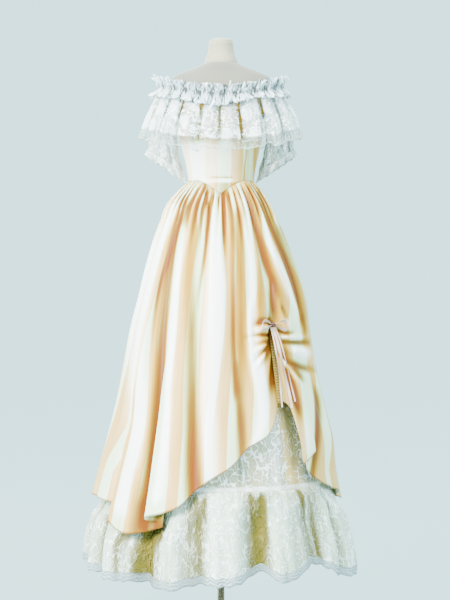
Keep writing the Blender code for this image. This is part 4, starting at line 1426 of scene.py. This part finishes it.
def form_finish(name, low, high):
    """Tight jersey over the dress form, between two tones."""
    made = Finish(name)
    place = made.add("ShaderNodeTexCoord", {}, {}, "Object")
    knit = made.noise(made.stretched(place, 900, 900), 1.0)
    cloud = made.noise(place, 9.0, 1.0)
    colour = made.mix(cloud, low, high)
    return made.finish(Base_Color=colour, Roughness=0.85, Normal=made.bump(knit, 0.00012), Sheen_Weight=0.2)


def steel_finish():
    """Polished steel with faint turning marks."""
    made = Finish("stand_steel")
    place = made.add("ShaderNodeTexCoord", {}, {}, "Object")
    marks = made.noise(made.stretched(place, 60, 60), 1.0)
    brushed = made.noise(made.stretched(place, 4, 4, 900), 1.0)
    return made.finish(
        Base_Color=made.mix(marks, (0.50, 0.51, 0.50), (0.62, 0.63, 0.62)),
        Metallic=1.0,
        Roughness=0.16 + brushed * 0.10,
    )


# Pieces


def make_form(cloth, block_cloth):
    def shape(u, v):
        angle = math.pi * (2 * u - 1)
        height = between(FORM[-1][0], FORM[0][0], v)
        side, front, back = read(FORM, height)
        side, depth = oval(angle, side, side, front, back)
        return points(angle, side, depth, height), np.stack([angle * 0.12, height], axis=-1), 0 * u

    torso = hang("form_torso", shape, 96, 110, 0.0, cloth, True)
    mesh = bmesh.new()
    mesh.from_mesh(torso.data)
    bmesh.ops.holes_fill(mesh, edges=mesh.edges)
    mesh.to_mesh(torso.data)
    mesh.free()
    heights = np.linspace(NECK[0][0], NECK[-1][0], 60)
    radii = smooth(column(NECK, 0), column(NECK, 1), heights)
    radii = radii - 0.0008 * hump((heights - NECK_GROOVE) / 0.0012)
    profile = [(0.0, NECK[0][0]), *zip(radii, heights), (0.0, NECK[-1][0] + 0.0005)]
    turned("form_neck", profile, 96, block_cloth)


def make_stand(steel):
    edge = 0.003
    side, top = BASE_RADIUS, BASE_THICKNESS
    turns = np.linspace(0, math.pi / 2, 8)
    bend = [(side - edge + edge * math.cos(turn), top - edge + edge * math.sin(turn)) for turn in turns]
    base = [(0.0, 0.0), (side - 0.001, 0.0), (side, 0.001), *bend, (0.0, top)]
    turned("stand_base", base, 128, steel)
    low, high = top + POLE_GAP, FORM_BOTTOM - POLE_GAP
    ring = low + COLLAR_HEIGHT
    pole = [
        (0.0, low),
        (COLLAR_RADIUS, low),
        (COLLAR_RADIUS, ring - 0.002),
        (COLLAR_RADIUS - 0.002, ring),
        (POLE_RADIUS, ring),
        (POLE_RADIUS, high),
        (0.0, high),
    ]
    turned("stand_pole", pole, 48, steel)


def make_bodice(satin):
    for name, first, last, columns, shift, flat in BODICE_PANELS:
        shape = bodice(first + PANEL_TRIM, last - PANEL_TRIM, shift)
        hang(name, shape, columns, 60, BODICE_WALL, satin)
    shape = bodice(180 - PLACKET_HALF, 180 + PLACKET_HALF, 0.0, PLACKET_OUT)
    placket = hang("back_placket", shape, 12, 60, STRIP_WALL, satin)


def make_overskirt(satin, gathered):
    front, back = SIDE_SEAM - SIDE_GAP, SIDE_SEAM + SIDE_GAP
    shape = overskirt(-front, front, front_cloth, True)
    skirt = hang("overskirt_front", shape, 310, 130, SATIN, satin)
    gathers = hang("drawstring_casing", casing, 12, 220, STRIP_WALL, gathered)
    shape = overskirt(back, 360 - back, back_cloth, False)
    skirt = hang("overskirt_back", shape, 300, 60, SATIN, satin)


def make_underskirt(tier_lace, flounce_lace, tier_lining, flounce_lining):
    lace = hang("underskirt_lace", tier(0.0, 0.010), 200, 60, LACE, tier_lace, True)
    shape = tier(LINING_IN, 0.0)
    under = hang("underskirt_lining", shape, 200, 40, LACE, tier_lining, True)
    lace = hang("flounce_lace", flounce(0.0, 0.0), 480, 44, LACE, flounce_lace, True)
    shape = flounce(FLOUNCE_LINING_IN, EDGING)
    under = hang("flounce_lining", shape, 480, 30, LACE, flounce_lining, True)


def make_neckline(bertha_lace, ruffle_lace, sleeve_lace):
    fall = hang("bertha_flounce", bertha, 700, 40, LACE, bertha_lace, True)
    ruffle = hang("neck_ruffle", neck_ruffle, 1000, 20, LACE, ruffle_lace, True)
    for side, mirror in SIDES:
        tube = hang("sleeve_" + side, sleeve(mirror), 160, 64, LACE, sleeve_lace, True)
        shape = sleeve_frill(mirror)
        frill = hang("sleeve_frill_" + side, shape, 300, 12, LACE, sleeve_lace, True)


def make_drawstring(ribbon, knotted):
    solid = bmesh.new()
    bmesh.ops.create_icosphere(solid, subdivisions=4, radius=1.0)
    middle, across, away = knot_place()
    ball = np.array([v.co for v in solid.verts])
    swirl = 1 + 0.10 * np.sin(7 * ball[:, 2] + 4 * ball[:, 0]) + 0.05 * np.sin(15 * ball[:, 0])
    ball = ball * np.array(KNOT_SIZES) * swirl[:, None]
    for vert, (x, y, z) in zip(solid.verts, ball):
        vert.co = middle + x * across - y * away + z * np.array([0.0, 0.0, 1.0])
    mesh = bpy.data.meshes.new("drawstring_knot")
    solid.to_mesh(mesh)
    solid.free()
    on_knot = [add_piece("drawstring_knot", mesh, knotted)]
    for side, mirror in SIDES:
        loop = hang("drawstring_loop_" + side, bow_loop(mirror), 8, 60, RIBBON, ribbon)
        on_knot.append(loop)
    for name, width, path in TAILS:
        tail = hang(name, strip(path, width, 0.0, 0.8), 8, 110, RIBBON, ribbon)
        ribbon_path(path, 0.0)


def make_ties(lace):
    for name, width, path in TIES:
        tie = hang(name, strip(path, width, 1.0, 0.9), 8, 80, RIBBON, lace)
        ribbon_path(path, 1.0)


# Studio


def make_studio():
    camera = bpy.data.objects.new("camera", bpy.data.cameras.new("camera"))
    bpy.context.scene.collection.objects.link(camera)
    camera.location = CAMERA
    camera.rotation_euler = (math.pi / 2, 0.0, 0.0)
    camera.data.sensor_width = SENSOR
    camera.data.lens = SENSOR / 2 * -CAMERA[1] / HALF_VIEW
    bpy.context.scene.camera = camera
    backdrop = Finish("backdrop")
    backdrop.finish(
        Base_Color=(0.004, 0.004, 0.004),
        Roughness=1.0,
        Emission_Color=(0.535, 0.937, 1.0),
        Emission_Strength=2.5,
    )
    bend = BACKDROP_BEND
    flat = BACKDROP_REACH - bend
    turns = np.linspace(0.1, math.pi / 2, 12)
    profile = [(0.0, 0.0), (flat, 0.0)]
    profile += [(flat + bend * math.sin(turn), bend - bend * math.cos(turn)) for turn in turns]
    profile += [(BACKDROP_REACH, CEILING), (0.0, CEILING)]
    room = spun(profile, 64)
    mesh = bpy.data.meshes.new("backdrop")
    room.to_mesh(mesh)
    room.free()
    mesh.materials.append(backdrop.material)
    mesh.shade_smooth()
    wall = bpy.data.objects.new("backdrop", mesh)
    bpy.context.scene.collection.objects.link(wall)
    for name, place, size, power, colour in LAMPS:
        lamp = bpy.data.objects.new(name, bpy.data.lights.new(name, "AREA"))
        bpy.context.scene.collection.objects.link(lamp)
        lamp.data.size = size
        lamp.data.energy = power
        lamp.data.color = colour
        lamp.location = place
        x, y, z = np.array(LIT_PLACE) - np.array(place)
        turn = math.atan2(y, x) - math.pi / 2
        tip = math.atan2(z, math.hypot(x, y)) + math.pi / 2
        lamp.rotation_euler = (tip, 0.0, turn)
        lamp.visible_camera = False


def main():
    satin = satin_finish()
    # lit and tint are lit colours; the linings' low and deep and the laces' valley colours are painted
    # shade.
    tier_lining = lining_finish(
        "tier_lining",
        lit=(0.38, 0.42, 0.25),
        low=(0.40, 0.38, 0.19),
        deep=(0.64, 0.45, 0.15),
    )
    flounce_lining = lining_finish(
        "flounce_lining",
        lit=(0.62, 0.78, 0.36),
        low=(0.38, 0.38, 0.09),
        deep=(0.135, 0.110, 0.012),
    )
    tier_lace = lace_finish(
        "tier_lace",
        tint=(0.72, 0.80, 0.70),
        valley=(0.86, 0.70, 0.38),
        ground=0.06,
        gap=0.2,
        pattern=38.0,
        flow=0.8,
        weave=1.0,
        petals=0.0,
        band=(0.872, 0.875, WAIST - TIER_SEAM, 0.65, (0.80, 0.88, 0.84)),
    )
    flounce_lace = lace_finish(
        "flounce_lace",
        tint=(0.64, 0.80, 0.72),
        valley=(0.150, 0.130, 0.020),
        ground=0.28,
        gap=0.30,
        pattern=48.0,
        flow=0.55,
        weave=0.75,
        petals=0.4,
        band=(0.232, 0.238, FLOUNCE_LENGTH, 0.50, (0.17, 0.24, 0.29)),
    )
    bertha_lace = lace_finish(
        "bertha_lace",
        tint=(0.66, 0.80, 0.82),
        valley=(0.28, 0.33, 0.27),
        ground=0.14,
        gap=0.8,
        pattern=32.0,
        flow=1.6,
        weave=0.90,
        petals=0.7,
        band=(0.118, 0.126, BERTHA_DROP, 0.02, (0.40, 0.50, 0.46)),
    )
    ruffle_lace = lace_finish(
        "ruffle_lace",
        tint=(0.50, 0.66, 0.74),
        valley=(0.085, 0.110, 0.110),
        ground=0.72,
        gap=0.25,
        pattern=80.0,
        flow=1.0,
        weave=0.4,
        petals=0.3,
    )
    sleeve_lace = lace_finish(
        "sleeve_lace",
        tint=(0.46, 0.58, 0.56),
        valley=(0.10, 0.11, 0.07),
        ground=0.55,
        gap=0.25,
        pattern=48.0,
        flow=1.0,
        weave=0.5,
        petals=0.6,
    )
    torso_cloth = form_finish("form_torso_cloth", (0.115, 0.114, 0.088), (0.140, 0.138, 0.105))
    block_cloth = form_finish("form_neck_cloth", (0.26, 0.25, 0.165), (0.32, 0.30, 0.20))
    make_form(torso_cloth, block_cloth)
    make_stand(steel_finish())
    make_bodice(satin)
    make_overskirt(satin, casing_finish())
    make_underskirt(tier_lace, flounce_lace, tier_lining, flounce_lining)
    make_neckline(bertha_lace, ruffle_lace, sleeve_lace)
    make_drawstring(ribbon_finish(), knot_finish())
    make_ties(ruffle_lace)
    make_studio()


main()
